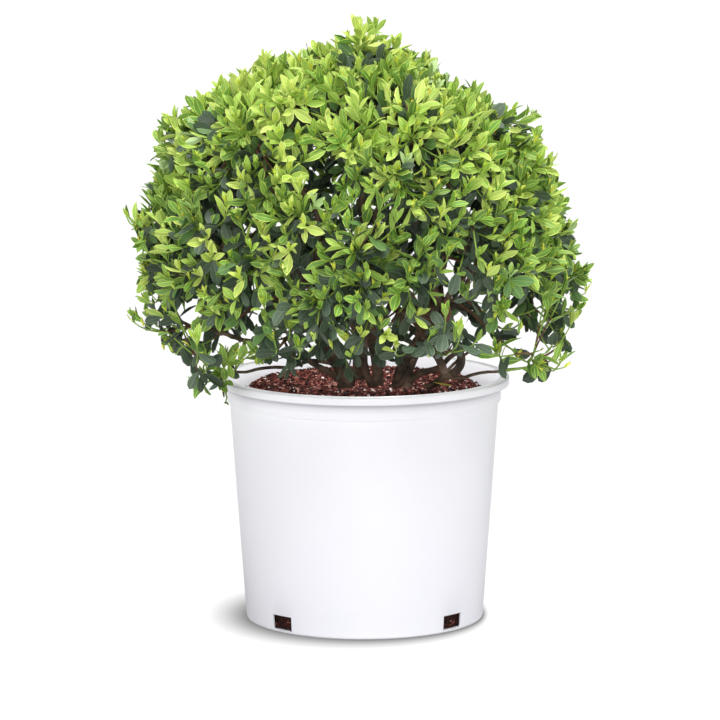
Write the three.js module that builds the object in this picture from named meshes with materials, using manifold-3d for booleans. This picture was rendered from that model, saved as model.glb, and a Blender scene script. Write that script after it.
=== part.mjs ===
// A potted inkberry holly: a clump of woody stems in a plain nursery pot, whose boughs each carry one
// mass of leafy twigs. Millimetres, +Z up, origin at the middle of the pot's flat underside, front at -Y.
import * as THREE from "three";
import { mergeVertices } from "three/addons/utils/BufferGeometryUtils.js";
import Module from "manifold-3d";

const wasm = await Module();
wasm.setup();

// Pot
const POT_HEIGHT = 240;
const LIP_RADIUS = 142.5; // outermost edge of the lip
const FOOT_RADIUS = 117;
const SHOULDER_RADIUS = 132; // top of the tapered body, under the band
const BAND_RADIUS = 134.3; // upright band between body and lip
const BAND_FROM = 215.5;
const LIP_FROM = 231.5;
const WALL = 2.4;
const FLOOR = 3;
const POT_SIDES = 36;
const DRAIN = { count: 4, width: 24, height: 14.6, above: 2.2, from: 46.7 }; // windows at the foot

// Potting mix
const GAP = 0.3; // clearance between pieces that touch
const GROUND = POT_HEIGHT - 8; // level middle of the mix, where the stems rise
const HEAP = 7; // the mix is heaped this much higher near the wall
const MIX_SIDES = 28;

// Crown: a rounded dome, a little flatter below
const CROWN = { x: -5, y: 0, z: 358, radius: 214, above: 214, below: 192 };
const FULLNESS = 2.2; // 2 would be an ellipsoid, more is boxier
// The skin's swellings and hollows: where each faces, how far out it moves the skin, and its half width
// in degrees
const DENTS = [
  { azimuth: 0, elevation: 51, out: -0.13, width: 13 },
  { azimuth: 0, elevation: 38, out: 0.05, width: 8 },
  { azimuth: 0, elevation: 12, out: -0.035, width: 12 },
  { azimuth: 180, elevation: 40, out: 0.03, width: 10 },
  { azimuth: 180, elevation: 68, out: -0.04, width: 14 },
];
const TOP_LEAN = { by: 12, from: 430, over: 150 }; // the top stands to the left, more with its height
const SHOOTS_OUT = 1.14; // nothing stands out of the dome by more than this
const CENTRE_SHARE = 0.66; // a mass's middle lies this far out from the crown's
const FOOT_SHARE = 0.42; // and its bough ends this far out
const SPACE_MARGIN = 1; // clear space kept to the next mass's space
const LIMB_MARGIN = 1; // and to any limb
const RIM_MARGIN = 4; // and to the pot and its mix

// Woody stems of the clump: foot and tip in plan, the tip's height over the mix, radii at both ends
const STEMS = [
  { name: "stem_left", foot: [-18, -36], tip: [-40, -22, 58], radii: [8.5, 5.5] },
  { name: "stem_middle", foot: [13, -30], tip: [4, -18, 92], radii: [5.4, 4.2] },
  { name: "stem_right", foot: [39, -26], tip: [66, -8, 62], radii: [9.5, 5.5] },
  { name: "stem_back", foot: [-2, 22], tip: [-6, 48, 70], radii: [8, 5] },
  { name: "stem_slender", foot: [55, -40], tip: [86, -52, 17], radii: [4.2, 3.6] },
];
const FLARE = 1.35; // a stem's foot is this much wider than the stem just above
const STEM_SIDES = 7;
const STEM_RINGS = 6;

// Rings of foliage masses round the crown: how many, how high they face and where the first one faces
const RINGS = [
  { ring: "upper", count: 5, elevation: 44, from: -68 },
  { ring: "side", count: 7, elevation: 4, from: -90 },
  { ring: "skirt", count: 6, elevation: -27, from: -62 },
];

// Two low boughs that leave the clump near the mix and run out level over the rim
const LOW_MASSES = [
  { label: "low_left", end: [-128, -66, 254], centre: [-160, -84, 262] },
  { label: "low_right", end: [136, -64, 254], centre: [178, -80, 268] },
];
const LOWEST = 254; // where the foliage ends over the mix
const FRONT_RISE = { from: 20, by: 0.15 }; // in front of this it ends higher by this share
const LOWEST_OUTSIDE = 222; // and where it ends on the low boughs, outside the rim
const OPEN_MASSES = ["side_2"]; // no dense core: the limbs behind show through

// Single shoots that break the rounded outline: where each one's tip stands
const SPRIGS = [
  [-4, -22, 592],
  [-52, 14, 584],
  [-238, -10, 306],
  [-236, -40, 412],
  [224, -18, 352],
  [-140, -100, 230],
  [-166, -78, 248],
  [204, -78, 268],
];
const BOUGH_RADII = [4.3, 2.6];
const LOWEST_LEAVE = 0.3; // boughs leave a stem between this share of its length and its tip
const BOUGH_SIDES = 5;
const BOUGH_RINGS = 3;

// Twigs and leaves
const SHOOTS = 94; // spread evenly over the whole dome, though none is grown under the crown
const SHOOT_VARIES = 0.07; // a shoot ends this share inside or outside the dome's skin
const TWIG_SIDES = 3;
const LEADER_RADIUS = 2.4; // where a mass's leader starts
const SIDE_RADIUS = 1.7; // where a side twig starts
const TWIG_RADIUS = 0.9; // where a twig ends
const TWIG_SHORTEST = 16;
const KNEE = 8; // a mass's stem runs straight on from its bough this far
const SLANT = 0.9; // side twigs leave the leader at this slant, as run over rise
const LEAVE_MOST = 0.6; // and at most this far along it
const SUNK = 1.5; // how deep a twig starts inside what bears it
const LEAF = { length: 52, width: 22, thick: 1.6, widest: 0.56, arch: 2.5, varies: 0.15 };
const LEAVES_PER_SHOOT = 3;
const LEAF_STEP = 7; // leaves leave a twig this far apart
const LAST_LEAF = 0.8; // the last one this far before its end
const PAST_END = 0.7; // and leaves reach past a twig's end by this share of their length
const LEAF_TILT = { first: 24, more: 19, varies: 7 }; // degrees off the twig, more for each lower leaf
const TRIES = 6;

// Dense core of a mass: its reach and the spaces it keeps, its facets, and the leaves that it bears
const CORE = { reach: 62, varies: 0.1, least: 10, margin: 5, depth: 0.83, sides: 6, rings: 5 };
const CORE_LEAF = { every: 2, outward: 0.3, sunk: 3, rising: 0.4, tilt: 42 };

const GOLDEN = THREE.MathUtils.degToRad(137.508);
const TINY = 0.2; // corners closer than this after joining and cutting are drawn together
const SEED = 4;

const vec = (x, y, z) => new THREE.Vector3(x, y, z);
const UP = vec(0, 0, 1);
const HEART = vec(CROWN.x, CROWN.y, CROWN.z);

// Random numbers from 0 to 1 that are the same on every run.
function seeded(seed) {
  let state = seed >>> 0;
  return () => {
    state = (state + 0x6d2b79f5) >>> 0;
    let mixed = Math.imul(state ^ (state >>> 15), state | 1);
    mixed ^= mixed + Math.imul(mixed ^ (mixed >>> 7), mixed | 61);
    return ((mixed ^ (mixed >>> 14)) >>> 0) / 4294967296;
  };
}

// Between three.js geometry and solids that can be joined and cut
function joined(geometry) {
  const bare = geometry.index ? geometry.toNonIndexed() : geometry.clone();
  for (const name of Object.keys(bare.attributes)) {
    if (name !== "position") bare.deleteAttribute(name);
  }
  return mergeVertices(bare, 1e-4);
}

function solidOf(geometry) {
  const { attributes, index } = joined(geometry);
  const mesh = { numProp: 3, vertProperties: attributes.position.array };
  mesh.triVerts = new Uint32Array(index.array);
  return new wasm.Manifold(new wasm.Mesh(mesh));
}

function geometryOf(solid) {
  const mesh = solid.getMesh();
  const geometry = new THREE.BufferGeometry();
  geometry.setAttribute("position", new THREE.BufferAttribute(mesh.vertProperties.slice(), 3));
  geometry.setIndex(new THREE.BufferAttribute(mesh.triVerts.slice(), 1));
  geometry.computeVertexNormals();
  return geometry;
}

function largestBody(solid) {
  return solid.decompose().reduce((a, b) => (b.volume() > a.volume() ? b : a));
}

function joinedUp(solids) {
  return largestBody(wasm.Manifold.union(solids)).simplify(TINY);
}

// The pot is one turned shell; its profile runs up the outside and down the inside.
function lathe(profile, sides) {
  const points = profile.map(([radius, height]) => new THREE.Vector2(radius, height));
  return new THREE.LatheGeometry(points, sides).rotateX(Math.PI / 2);
}

function potSolid() {
  const profile = [
    [0, 0],
    [FOOT_RADIUS - 3, 0],
    [FOOT_RADIUS, 3],
    [SHOULDER_RADIUS, BAND_FROM],
    [BAND_RADIUS, BAND_FROM + 1],
    [BAND_RADIUS, LIP_FROM],
    [LIP_RADIUS - 1.5, LIP_FROM],
    [LIP_RADIUS, LIP_FROM + 1.5],
    [LIP_RADIUS, POT_HEIGHT - 2],
    [LIP_RADIUS - 2, POT_HEIGHT],
    [BAND_RADIUS, POT_HEIGHT],
    [BAND_RADIUS - WALL, POT_HEIGHT - 2.5],
    [BAND_RADIUS - WALL, BAND_FROM + 3.5],
    [SHOULDER_RADIUS - WALL, BAND_FROM],
    [FOOT_RADIUS - WALL, FLOOR],
    [0, FLOOR],
  ];
  let pot = solidOf(lathe(profile, POT_SIDES));
  for (let i = 0; i < DRAIN.count; i++) {
    const window = new THREE.BoxGeometry(20, DRAIN.width, DRAIN.height);
    window.translate(FOOT_RADIUS, 0, DRAIN.above + DRAIN.height / 2);
    window.rotateZ(THREE.MathUtils.degToRad(DRAIN.from + (i * 360) / DRAIN.count));
    pot = pot.subtract(solidOf(window));
  }
  return pot;
}

// The mix fills the pot to the wall, level in the middle and heaped in a ring towards the wall.
function mixSolid() {
  const floor = FLOOR + GAP;
  const inside = (height) =>
    THREE.MathUtils.mapLinear(height, 0, BAND_FROM, FOOT_RADIUS, SHOULDER_RADIUS) - WALL - 2 * GAP;
  const top = inside(GROUND) - 4;
  const profile = [
    [0, floor],
    [inside(floor) - 1, floor],
    [inside(BAND_FROM) - 0.5, BAND_FROM],
    [top, GROUND - 4],
    [top - 22, GROUND + HEAP],
    [top - 50, GROUND],
    [0, GROUND],
  ];
  return solidOf(lathe(profile, MIX_SIDES));
}

// A limb is a cylinder bent along a curve, its rings square to it and each of its own radius.
function limbGeometry(curve, radiusAt, sides, rings) {
  const geometry = new THREE.CylinderGeometry(1, 1, 1, sides, rings);
  const frames = curve.computeFrenetFrames(rings, false);
  const position = geometry.attributes.position;
  for (let i = 0; i < position.count; i++) {
    const along = position.getY(i) + 0.5;
    const ring = Math.round(along * rings);
    const normal = frames.normals[ring];
    const side = normal.clone().cross(frames.tangents[ring]);
    const place = curve.getPointAt(along);
    const radius = radiusAt(along);
    place.addScaledVector(normal, position.getX(i) * radius);
    place.addScaledVector(side, position.getZ(i) * radius);
    position.setXYZ(i, place.x, place.y, place.z);
  }
  return geometry;
}

// The solid of a limb, grown by extra all round for cutting a gap into its neighbours.
function limbSolid(limb, extra = 0) {
  const radiusAt = (along) => limb.radiusAt(along) + extra;
  return solidOf(limbGeometry(limb.curve, radiusAt, limb.sides, limb.rings));
}

function stemLimb({ name, foot, tip, radii }) {
  const base = vec(foot[0], foot[1], GROUND + GAP);
  const end = vec(tip[0], tip[1], GROUND + tip[2]);
  const rise = base.clone().addScaledVector(UP, tip[2] * 0.35); // leaves the mix upright
  const bend = base.clone().lerp(end, 0.6).addScaledVector(UP, tip[2] * 0.08);
  const curve = new THREE.CubicBezierCurve3(base, rise, bend, end);
  const radiusAt = (along) =>
    THREE.MathUtils.lerp(radii[0], radii[1], along) * (1 + (FLARE - 1) * Math.exp(-along * 9));
  return { name, curve, radiusAt, sides: STEM_SIDES, rings: STEM_RINGS };
}

// How far out of the crown's middle a point lies: 1 is on the dome's skin.
function depth(point) {
  const across = Math.hypot(point.x - CROWN.x, point.y - CROWN.y) / CROWN.radius;
  const rise = point.z - CROWN.z;
  const upright = Math.abs(rise) / (rise > 0 ? CROWN.above : CROWN.below);
  return (across ** FULLNESS + upright ** FULLNESS) ** (1 / FULLNESS);
}

// The point on the line from the crown's middle in a direction, at a share of the way to the skin
function crownPoint(direction, share) {
  const unit = direction.clone().normalize();
  const reach = 1 / depth(HEART.clone().add(unit));
  return HEART.clone().addScaledVector(unit, reach * share);
}

function facing(azimuth, elevation) {
  const turn = THREE.MathUtils.degToRad(azimuth);
  const lift = THREE.MathUtils.degToRad(elevation);
  return vec(Math.cos(turn) * Math.cos(lift), Math.sin(turn) * Math.cos(lift), Math.sin(lift));
}

function massList() {
  const masses = [{ label: "top", direction: UP.clone() }];
  for (const { ring, count, elevation, from } of RINGS) {
    for (let i = 0; i < count; i++) {
      masses.push({ label: `${ring}_${i + 1}`, direction: facing(from + (i * 360) / count, elevation) });
    }
  }
  for (const mass of masses) {
    mass.centre = crownPoint(mass.direction, CENTRE_SHARE);
    mass.end = crownPoint(mass.direction, FOOT_SHARE);
  }
  for (const mass of masses) mass.lowest = LOWEST;
  for (const { label, end, centre } of LOW_MASSES) {
    masses.push({ label, end: vec(...end), centre: vec(...centre), lowest: LOWEST_OUTSIDE });
  }
  return masses;
}

// Each mass's bough leaves the stem nearest to it, the lowest boughs first, and the highest carries on
// from the stem's tip.
function growBoughs(masses, stems) {
  const boughs = [];
  const across = (stem, mass) => {
    const tip = stem.curve.getPointAt(1);
    return Math.hypot(tip.x - mass.end.x, tip.y - mass.end.y);
  };
  for (const mass of masses) {
    mass.stem = stems.reduce((a, b) => (across(b, mass) < across(a, mass) ? b : a));
  }
  for (const stem of stems) {
    const own = masses.filter((mass) => mass.stem === stem).sort((a, b) => a.end.z - b.end.z);
    own.forEach((mass, i) => {
      const leave = THREE.MathUtils.lerp(1, LOWEST_LEAVE, (own.length - 1 - i) / own.length);
      mass.bough = boughLimb(mass, stem, leave);
      boughs.push(mass.bough);
    });
  }
  return boughs;
}

// A bough curves out from its stem to its mass's inner side.
function boughLimb(mass, stem, leave) {
  const { end } = mass;
  const along = stem.curve.getTangentAt(leave);
  const start = stem.curve.getPointAt(leave).addScaledVector(along, leave === 1 ? GAP : 0);
  const span = start.distanceTo(end);
  const out = end.clone().sub(start).normalize();
  const first = out.clone().lerp(along, leave === 1 ? 0.9 : 0.35).normalize();
  const last = end.clone().sub(HEART).setZ(0).normalize().lerp(out, 0.4).addScaledVector(UP, 0.25);
  const curve = new THREE.CubicBezierCurve3(
    start,
    start.clone().addScaledVector(first, span * 0.35),
    end.clone().addScaledVector(last.normalize(), -span * 0.3),
    end,
  );
  const radiusAt = (share) => THREE.MathUtils.lerp(BOUGH_RADII[0], BOUGH_RADII[1], share);
  const name = `bough_${mass.label}`;
  return { name, curve, radiusAt, sides: BOUGH_SIDES, rings: BOUGH_RINGS };
}

// A number near 1 that differs from it by up to a share
function varied(share, random) {
  return 1 + share * (2 * random() - 1);
}

// How much further out the crown's skin lies in a direction
function swelling(direction) {
  const share = ({ azimuth, elevation, out, width }) => {
    const turn = THREE.MathUtils.radToDeg(direction.angleTo(facing(azimuth, elevation)));
    return out * Math.exp(-((turn / width) ** 2));
  };
  return DENTS.reduce((sum, dent) => sum + share(dent), 0);
}

// The lowest level of a mass's leaves at a place
function lowestAt(point, lowest) {
  if (lowest !== LOWEST) return lowest;
  return lowest + FRONT_RISE.by * Math.max(-point.y - FRONT_RISE.from, 0);
}

// Evenly spread tips on the dome's skin, by the golden-angle spiral
function spreadTips(random) {
  const tips = [];
  for (let i = 0; i < SHOOTS; i++) {
    const height = 1 - (2 * (i + 0.5)) / SHOOTS;
    const around = Math.sqrt(1 - height * height);
    const turn = i * GOLDEN;
    const direction = vec(Math.cos(turn) * around, Math.sin(turn) * around, height);
    const tip = crownPoint(direction, varied(SHOOT_VARIES, random) + swelling(direction));
    tip.x -= TOP_LEAN.by * THREE.MathUtils.clamp((tip.z - TOP_LEAN.from) / TOP_LEAN.over, 0, 1);
    if (tip.z > lowestAt(tip, LOWEST)) tips.push(tip);
  }
  return tips;
}

// Over the rim, or outside it
function clearOfPot(point, margin) {
  return point.z > POT_HEIGHT + margin || Math.hypot(point.x, point.y) > LIP_RADIUS + margin;
}

// Every point of a mass is nearer to its own middle than to another mass's, by a margin.
function inOwnSpace(point, mass, masses, margin = SPACE_MARGIN) {
  return masses.every((other) => {
    if (other === mass) return true;
    const across = other.centre.clone().sub(mass.centre);
    const halfway = mass.centre.clone().add(other.centre).multiplyScalar(0.5);
    return halfway.sub(point).dot(across) / across.length() > margin;
  });
}

function between(from, to, count) {
  return Array.from({ length: count + 1 }, (_, i) => from.clone().lerp(to, i / count));
}

function twigSolid(from, to, fromRadius, toRadius) {
  const length = from.distanceTo(to);
  const twig = new THREE.CylinderGeometry(toRadius, fromRadius, length, TWIG_SIDES);
  const turn = new THREE.Quaternion().setFromUnitVectors(vec(0, 1, 0), to.clone().sub(from).normalize());
  twig.translate(0, length / 2, 0).applyQuaternion(turn).translate(from.x, from.y, from.z);
  return solidOf(twig);
}

// A leaf is a flattened octahedron: root, tip, two sides and a top and bottom of the blade.
function leafPoints(root, along, face, length) {
  const side = face.clone().cross(along).normalize();
  const widest = root.clone().addScaledVector(along, length * LEAF.widest);
  const scale = length / LEAF.length;
  const middle = widest.clone().addScaledVector(face, LEAF.arch * scale);
  return {
    root,
    tip: root.clone().addScaledVector(along, length),
    left: widest.clone().addScaledVector(side, (LEAF.width / 2) * scale),
    right: widest.clone().addScaledVector(side, (-LEAF.width / 2) * scale),
    top: middle.clone().addScaledVector(face, LEAF.thick / 2),
    bottom: middle.clone().addScaledVector(face, -LEAF.thick / 2),
  };
}

function leafSolid(points) {
  const leaf = new THREE.OctahedronGeometry(1, 0);
  const position = leaf.attributes.position;
  for (let i = 0; i < position.count; i++) {
    const [x, y, z] = [position.getX(i), position.getY(i), position.getZ(i)].map(Math.round);
    const ends = x > 0 ? points.tip : points.root;
    const sides = y > 0 ? points.left : points.right;
    const faces = z > 0 ? points.top : points.bottom;
    const place = x ? ends : y ? sides : faces;
    position.setXYZ(i, place.x, place.y, place.z);
  }
  return solidOf(leaf);
}

// The directions in which a leaf lies along its blade and faces, at a turn round its shoot
function leafDirections(shoot, turn, tilt) {
  const level = vec(-shoot.y, shoot.x, 0);
  const across = level.lengthSq() > 0.01 ? level.normalize() : vec(1, 0, 0);
  const outward = across.applyAxisAngle(shoot, turn);
  return {
    along: shoot.clone().multiplyScalar(Math.cos(tilt)).addScaledVector(outward, Math.sin(tilt)),
    face: shoot.clone().multiplyScalar(Math.sin(tilt)).addScaledVector(outward, -Math.cos(tilt)),
  };
}

// The rounded core of a dense mass, kept under the crown's skin and inside the mass's own space
function coreSolid(mass, masses, wood, random) {
  const core = joined(new THREE.SphereGeometry(1, CORE.sides, CORE.rings));
  const { position } = core.attributes;
  const outside = (p) =>
    !inOwnSpace(p, mass, masses, CORE.margin) ||
    depth(p) > CORE.depth ||
    p.z < lowestAt(p, LOWEST) + CORE.margin;
  for (let i = 0; i < position.count; i++) {
    const direction = vec(position.getX(i), position.getY(i), position.getZ(i));
    const place = (reach) => mass.centre.clone().addScaledVector(direction, reach);
    let reach = CORE.reach * varied(CORE.varies, random);
    while (reach > CORE.least && outside(place(reach))) reach -= 1;
    position.setXYZ(i, ...place(reach).toArray());
  }
  return { solid: largestBody(solidOf(core).subtract(wood)), facets: facetsOf(core) };
}

// The middle of each facet of a rounded solid and the way it faces
function facetsOf(geometry) {
  const { attributes, index } = geometry;
  const corner = (i) => vec(0, 0, 0).fromBufferAttribute(attributes.position, index.getX(i));
  const facets = [];
  for (let i = 0; i < index.count; i += 3) {
    const facet = new THREE.Triangle(corner(i), corner(i + 1), corner(i + 2));
    facets.push({ middle: facet.getMidpoint(vec(0, 0, 0)), facing: facet.getNormal(vec(0, 0, 0)) });
  }
  return facets;
}

// Grows one mass from its bough's tip. A leader runs out to the crown's skin, side twigs leave it at a
// slant for the mass's own tips, and leaves stand round each twig's end in a spiral.
function growMass(mass, masses, wood, random) {
  const solids = [];
  let leaves = 0;
  const inSpace = (points) =>
    points.every((p) => inOwnSpace(p, mass, masses) && depth(p) < SHOOTS_OUT) &&
    points.every((p) => p.z > lowestAt(p, mass.lowest) && clearOfPot(p, RIM_MARGIN));
  const touches = (solid, other) => !solid.intersect(other).isEmpty();

  // Tries a few places round what bears it, and skips the leaf if it would touch something at all of them.
  function addLeaf(root, along, bearer, turn, lean) {
    const length = LEAF.length * varied(LEAF.varies, random);
    for (let attempt = 0; attempt < TRIES; attempt++) {
      const tilt = lean + LEAF_TILT.varies * (2 * random() - 1);
      const blade = leafDirections(along, turn + attempt, THREE.MathUtils.degToRad(tilt));
      const points = leafPoints(root, blade.along, blade.face, length);
      if (!inSpace([points.tip, points.left, points.right])) continue;
      const leaf = leafSolid(points);
      if (touches(leaf, wood)) continue;
      if (solids.some((other) => other !== bearer && touches(leaf, other))) continue;
      solids.push(leaf);
      leaves += 1;
      return;
    }
  }

  // A twig stops short of its tip's place, where the last leaves end.
  function addTwig(from, tip, radius) {
    const along = tip.clone().sub(from).normalize();
    const reach = Math.max(from.distanceTo(tip) - LEAF.length * PAST_END, TWIG_SHORTEST);
    const end = from.clone().addScaledVector(along, reach);
    const twig = twigSolid(from, end, radius, TWIG_RADIUS);
    if (!inSpace(between(from, end, 5).slice(1)) || touches(twig, wood)) return;
    solids.push(twig);
    const start = random() * Math.PI * 2;
    const step = Math.min(reach / (LEAVES_PER_SHOOT + 1), LEAF_STEP);
    for (let i = 0; i < LEAVES_PER_SHOOT; i++) {
      const root = end.clone().addScaledVector(along, -LAST_LEAF - i * step);
      addLeaf(root, along, twig, start + i * GOLDEN, LEAF_TILT.first + i * LEAF_TILT.more);
    }
  }

  // Leaves stand out of every other outer facet of the core.
  function addCore() {
    const core = coreSolid(mass, masses, wood, random);
    const outward = (facet) => facet.facing.dot(facet.middle.clone().sub(HEART).normalize());
    const outer = core.facets.filter((facet) => outward(facet) > CORE_LEAF.outward);
    solids.push(core.solid);
    for (let i = 0; i < outer.length; i += CORE_LEAF.every) {
      const { middle, facing } = outer[i];
      const root = middle.clone().addScaledVector(facing, -CORE_LEAF.sunk);
      const rising = facing.clone().addScaledVector(UP, CORE_LEAF.rising).normalize();
      addLeaf(root, rising, core.solid, random() * Math.PI * 2, CORE_LEAF.tilt);
    }
  }

  // The leader carries on from the bough, which it meets face to face.
  const heading = mass.bough.curve.getTangentAt(1);
  const start = mass.bough.curve.getPointAt(1).addScaledVector(heading, GAP);
  const knee = start.clone().addScaledVector(heading, KNEE);
  solids.push(twigSolid(start, knee, BOUGH_RADII[1], LEADER_RADIUS));
  const leaderTip = crownPoint(mass.centre.clone().sub(HEART), 1);
  const leader = leaderTip.clone().sub(knee);
  const length = leader.length();
  leader.normalize();
  addTwig(knee.clone().addScaledVector(heading, -SUNK), leaderTip, LEADER_RADIUS);
  for (const tip of mass.tips) {
    const offset = tip.clone().sub(knee);
    const forward = offset.dot(leader);
    const aside = Math.sqrt(Math.max(offset.lengthSq() - forward * forward, 0));
    const leave = THREE.MathUtils.clamp(forward - aside * SLANT, 0, length * LEAVE_MOST);
    addTwig(knee.clone().addScaledVector(leader, leave), tip, SIDE_RADIUS);
  }

  if (!OPEN_MASSES.includes(mass.label)) addCore();
  return { solid: joinedUp(solids), leaves };
}

const MATERIALS = {
  pot: new THREE.MeshStandardMaterial({ color: 0xf2f2f5, roughness: 0.42, metalness: 0 }),
  mix: new THREE.MeshStandardMaterial({ color: 0x4a2620, roughness: 0.95, metalness: 0 }),
  bark: new THREE.MeshStandardMaterial({ color: 0x5b4636, roughness: 0.85, metalness: 0 }),
  leaf: new THREE.MeshStandardMaterial({ color: 0x5f9a2c, roughness: 0.5, metalness: 0 }),
};

const plant = new THREE.Group();

function addMesh(name, solid, material) {
  const mesh = new THREE.Mesh(geometryOf(solid), MATERIALS[material]);
  mesh.name = name;
  plant.add(mesh);
}

function build() {
  addMesh("pot", potSolid(), "pot");
  addMesh("potting_mix", mixSolid(), "mix");

  const masses = massList();
  const stems = STEMS.map(stemLimb);
  const limbs = [...stems, ...growBoughs(masses, stems)];

  const wood = wasm.Manifold.union(limbs.map((limb) => limbSolid(limb, LIMB_MARGIN)));

  // Each limb is cut clear of every limb before it, and the piece that reaches the tip is kept.
  limbs.forEach((limb, i) => {
    let solid = limbSolid(limb);
    for (const earlier of limbs.slice(0, i)) solid = solid.subtract(limbSolid(earlier, GAP));
    addMesh(limb.name, largestBody(solid).simplify(TINY), "bark");
  });

  const random = seeded(SEED);
  for (const mass of masses) mass.tips = [];
  const tips = SPRIGS.map((place) => vec(...place));
  tips.push(...spreadTips(random));
  for (const tip of tips) {
    const away = (mass) => mass.centre.distanceTo(tip);
    const nearest = masses.reduce((a, b) => (away(b) < away(a) ? b : a));
    nearest.tips.push(tip);
  }
  let leaves = 0;
  for (const mass of masses) {
    const grown = growMass(mass, masses, wood, random);
    leaves += grown.leaves;
    addMesh(`foliage_${mass.label}`, grown.solid, "leaf");
  }
  console.log(`${masses.length} masses, ${tips.length} shoots, ${leaves} leaves`);
}

build();

export default plant;
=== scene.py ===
# %% [markdown]
# # A potted inkberry holly
# This is a young evergreen shrub as a nursery sells it: a dense round crown of small leaves over a clump
# of brown stems, in a plain white moulded pot. The solid model gives the pot, the potting mix, five stems,
# their boughs and twenty-one masses of foliage. Those solids are the frame: this script loads them, keeps
# every limb and every mass where it is, and grows the fine bark, twigs and leaves in their place.

# %% Load the fixed frame
import math
import random

import bmesh
import bpy
import numpy as np
from mathutils import Matrix, Vector, noise


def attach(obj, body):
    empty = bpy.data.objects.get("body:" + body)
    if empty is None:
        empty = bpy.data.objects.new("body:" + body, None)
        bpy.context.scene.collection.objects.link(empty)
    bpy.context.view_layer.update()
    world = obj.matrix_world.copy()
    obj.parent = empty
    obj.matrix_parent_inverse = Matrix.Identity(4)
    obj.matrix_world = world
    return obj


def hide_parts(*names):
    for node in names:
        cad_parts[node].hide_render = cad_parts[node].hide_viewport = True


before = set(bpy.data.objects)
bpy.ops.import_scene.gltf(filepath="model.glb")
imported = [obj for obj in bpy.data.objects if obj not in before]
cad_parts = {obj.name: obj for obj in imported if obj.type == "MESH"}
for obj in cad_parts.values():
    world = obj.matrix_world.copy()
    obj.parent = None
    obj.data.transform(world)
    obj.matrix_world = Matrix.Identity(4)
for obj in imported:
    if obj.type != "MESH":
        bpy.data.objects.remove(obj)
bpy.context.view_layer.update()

MM = 0.001  # the script's sizes are in millimetres, Blender's in metres
UP = Vector((0, 0, 1))

# %% [markdown]
# ## The camera
# The picture was taken from almost four metres away with a long lens, so the sides of the pot hardly
# converge. The two rings of the rim and the curve of the foot give the height and distance of the camera
# together, and the pot's width gives the lens. A plain camera object with those values is all that it
# takes.

# %% Set up the camera
CAMERA_PLACE = (-0.0024, -3.8688, 0.8493)
CAMERA_TILT = 81.26  # degrees from looking straight down
CAMERA_ROLL = 0.15
CAMERA_LENS = 199.4

camera_data = bpy.data.cameras.new("camera")
camera_data.lens = CAMERA_LENS
camera = bpy.data.objects.new("camera", camera_data)
camera.location = CAMERA_PLACE
camera.rotation_euler = (math.radians(CAMERA_TILT), math.radians(CAMERA_ROLL), 0)
bpy.context.scene.collection.objects.link(camera)
bpy.context.scene.camera = camera
print("camera at", CAMERA_PLACE, "with a lens of", CAMERA_LENS, "mm")

# %% [markdown]
# ## Floor and light
# A product picture like this one is lit by large white boxes all round, so that shadows are soft and the
# ground goes white. Five suns with a very wide angle act as the boxes, because their light doesn't fall off
# with distance and the floor stays evenly white. The white world fills the shadows between the leaves. It
# is brighter to the camera than to the plant, as the lit paper behind a product is.

# %% Lay the floor and place the lights
FLOOR_SIZE = 60
FILL_STRENGTH = 0.36
PAPER_STRENGTH = 1.05
SUNS = [
    {"name": "key", "azimuth": 20, "elevation": 68, "angle": 30, "strength": 2.75},
    {"name": "front", "azimuth": 4, "elevation": 9, "angle": 36, "strength": 0.95},
    {"name": "left", "azimuth": -55, "elevation": 12, "angle": 50, "strength": 0.97},
    {"name": "right", "azimuth": 60, "elevation": 12, "angle": 50, "strength": 0.6},
    {"name": "back", "azimuth": 184, "elevation": 44, "angle": 50, "strength": 0.7},
]


def linear(code):
    """A colour written as in a paint chart, such as 7fa04c, in the linear values that shaders take."""
    shares = [int(code[i:i + 2], 16) / 255 for i in (0, 2, 4)]
    return tuple(s / 12.92 if s <= 0.04045 else ((s + 0.055) / 1.055) ** 2.4 for s in shares) + (1,)


def link_new(name, data):
    made = bpy.data.objects.new(name, data)
    bpy.context.scene.collection.objects.link(made)
    return made


def add_sun(name, azimuth, elevation, angle, strength):
    """A sun seen from the plant at that azimuth from the front, to the right, and that elevation."""
    data = bpy.data.lights.new(name, "SUN")
    data.energy = strength
    data.angle = math.radians(angle)
    sun = link_new(name, data)
    sun.rotation_euler = (math.radians(90 - elevation), 0, math.radians(azimuth))
    return sun


def build_world():
    """White all round: the paper that the camera sees, and a weaker fill light for the plant."""
    world = bpy.data.worlds.new("studio")
    world.use_nodes = True
    nodes, links = world.node_tree.nodes, world.node_tree.links
    strength = nodes.new("ShaderNodeMapRange")
    strength.inputs["To Min"].default_value = FILL_STRENGTH
    strength.inputs["To Max"].default_value = PAPER_STRENGTH
    links.new(nodes.new("ShaderNodeLightPath").outputs["Is Camera Ray"], strength.inputs["Value"])
    links.new(strength.outputs["Result"], nodes["Background"].inputs["Strength"])
    nodes["Background"].inputs["Color"].default_value = (1, 1, 1, 1)
    return world


bpy.context.scene.world = build_world()
for sun in SUNS:
    add_sun(**sun)
bpy.context.scene.view_settings.view_transform = "Standard"

floor_mesh = bmesh.new()
bmesh.ops.create_grid(floor_mesh, x_segments=1, y_segments=1, size=FLOOR_SIZE / 2)
floor_data = bpy.data.meshes.new("floor")
floor_mesh.to_mesh(floor_data)
floor_mesh.free()
floor = link_new("floor", floor_data)
print("suns", len(SUNS), "floor", FLOOR_SIZE, "m across")

# %% [markdown]
# ## Shared surface effects
# Plastic, bark and potting mix all have a fine grain and broad, cloudy patches, only at other scales. One
# node group gives both as plain values, and each material turns them into its own colour, roughness and
# bump. It reads Object coordinates, so it stays on the surface from any side.

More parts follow.
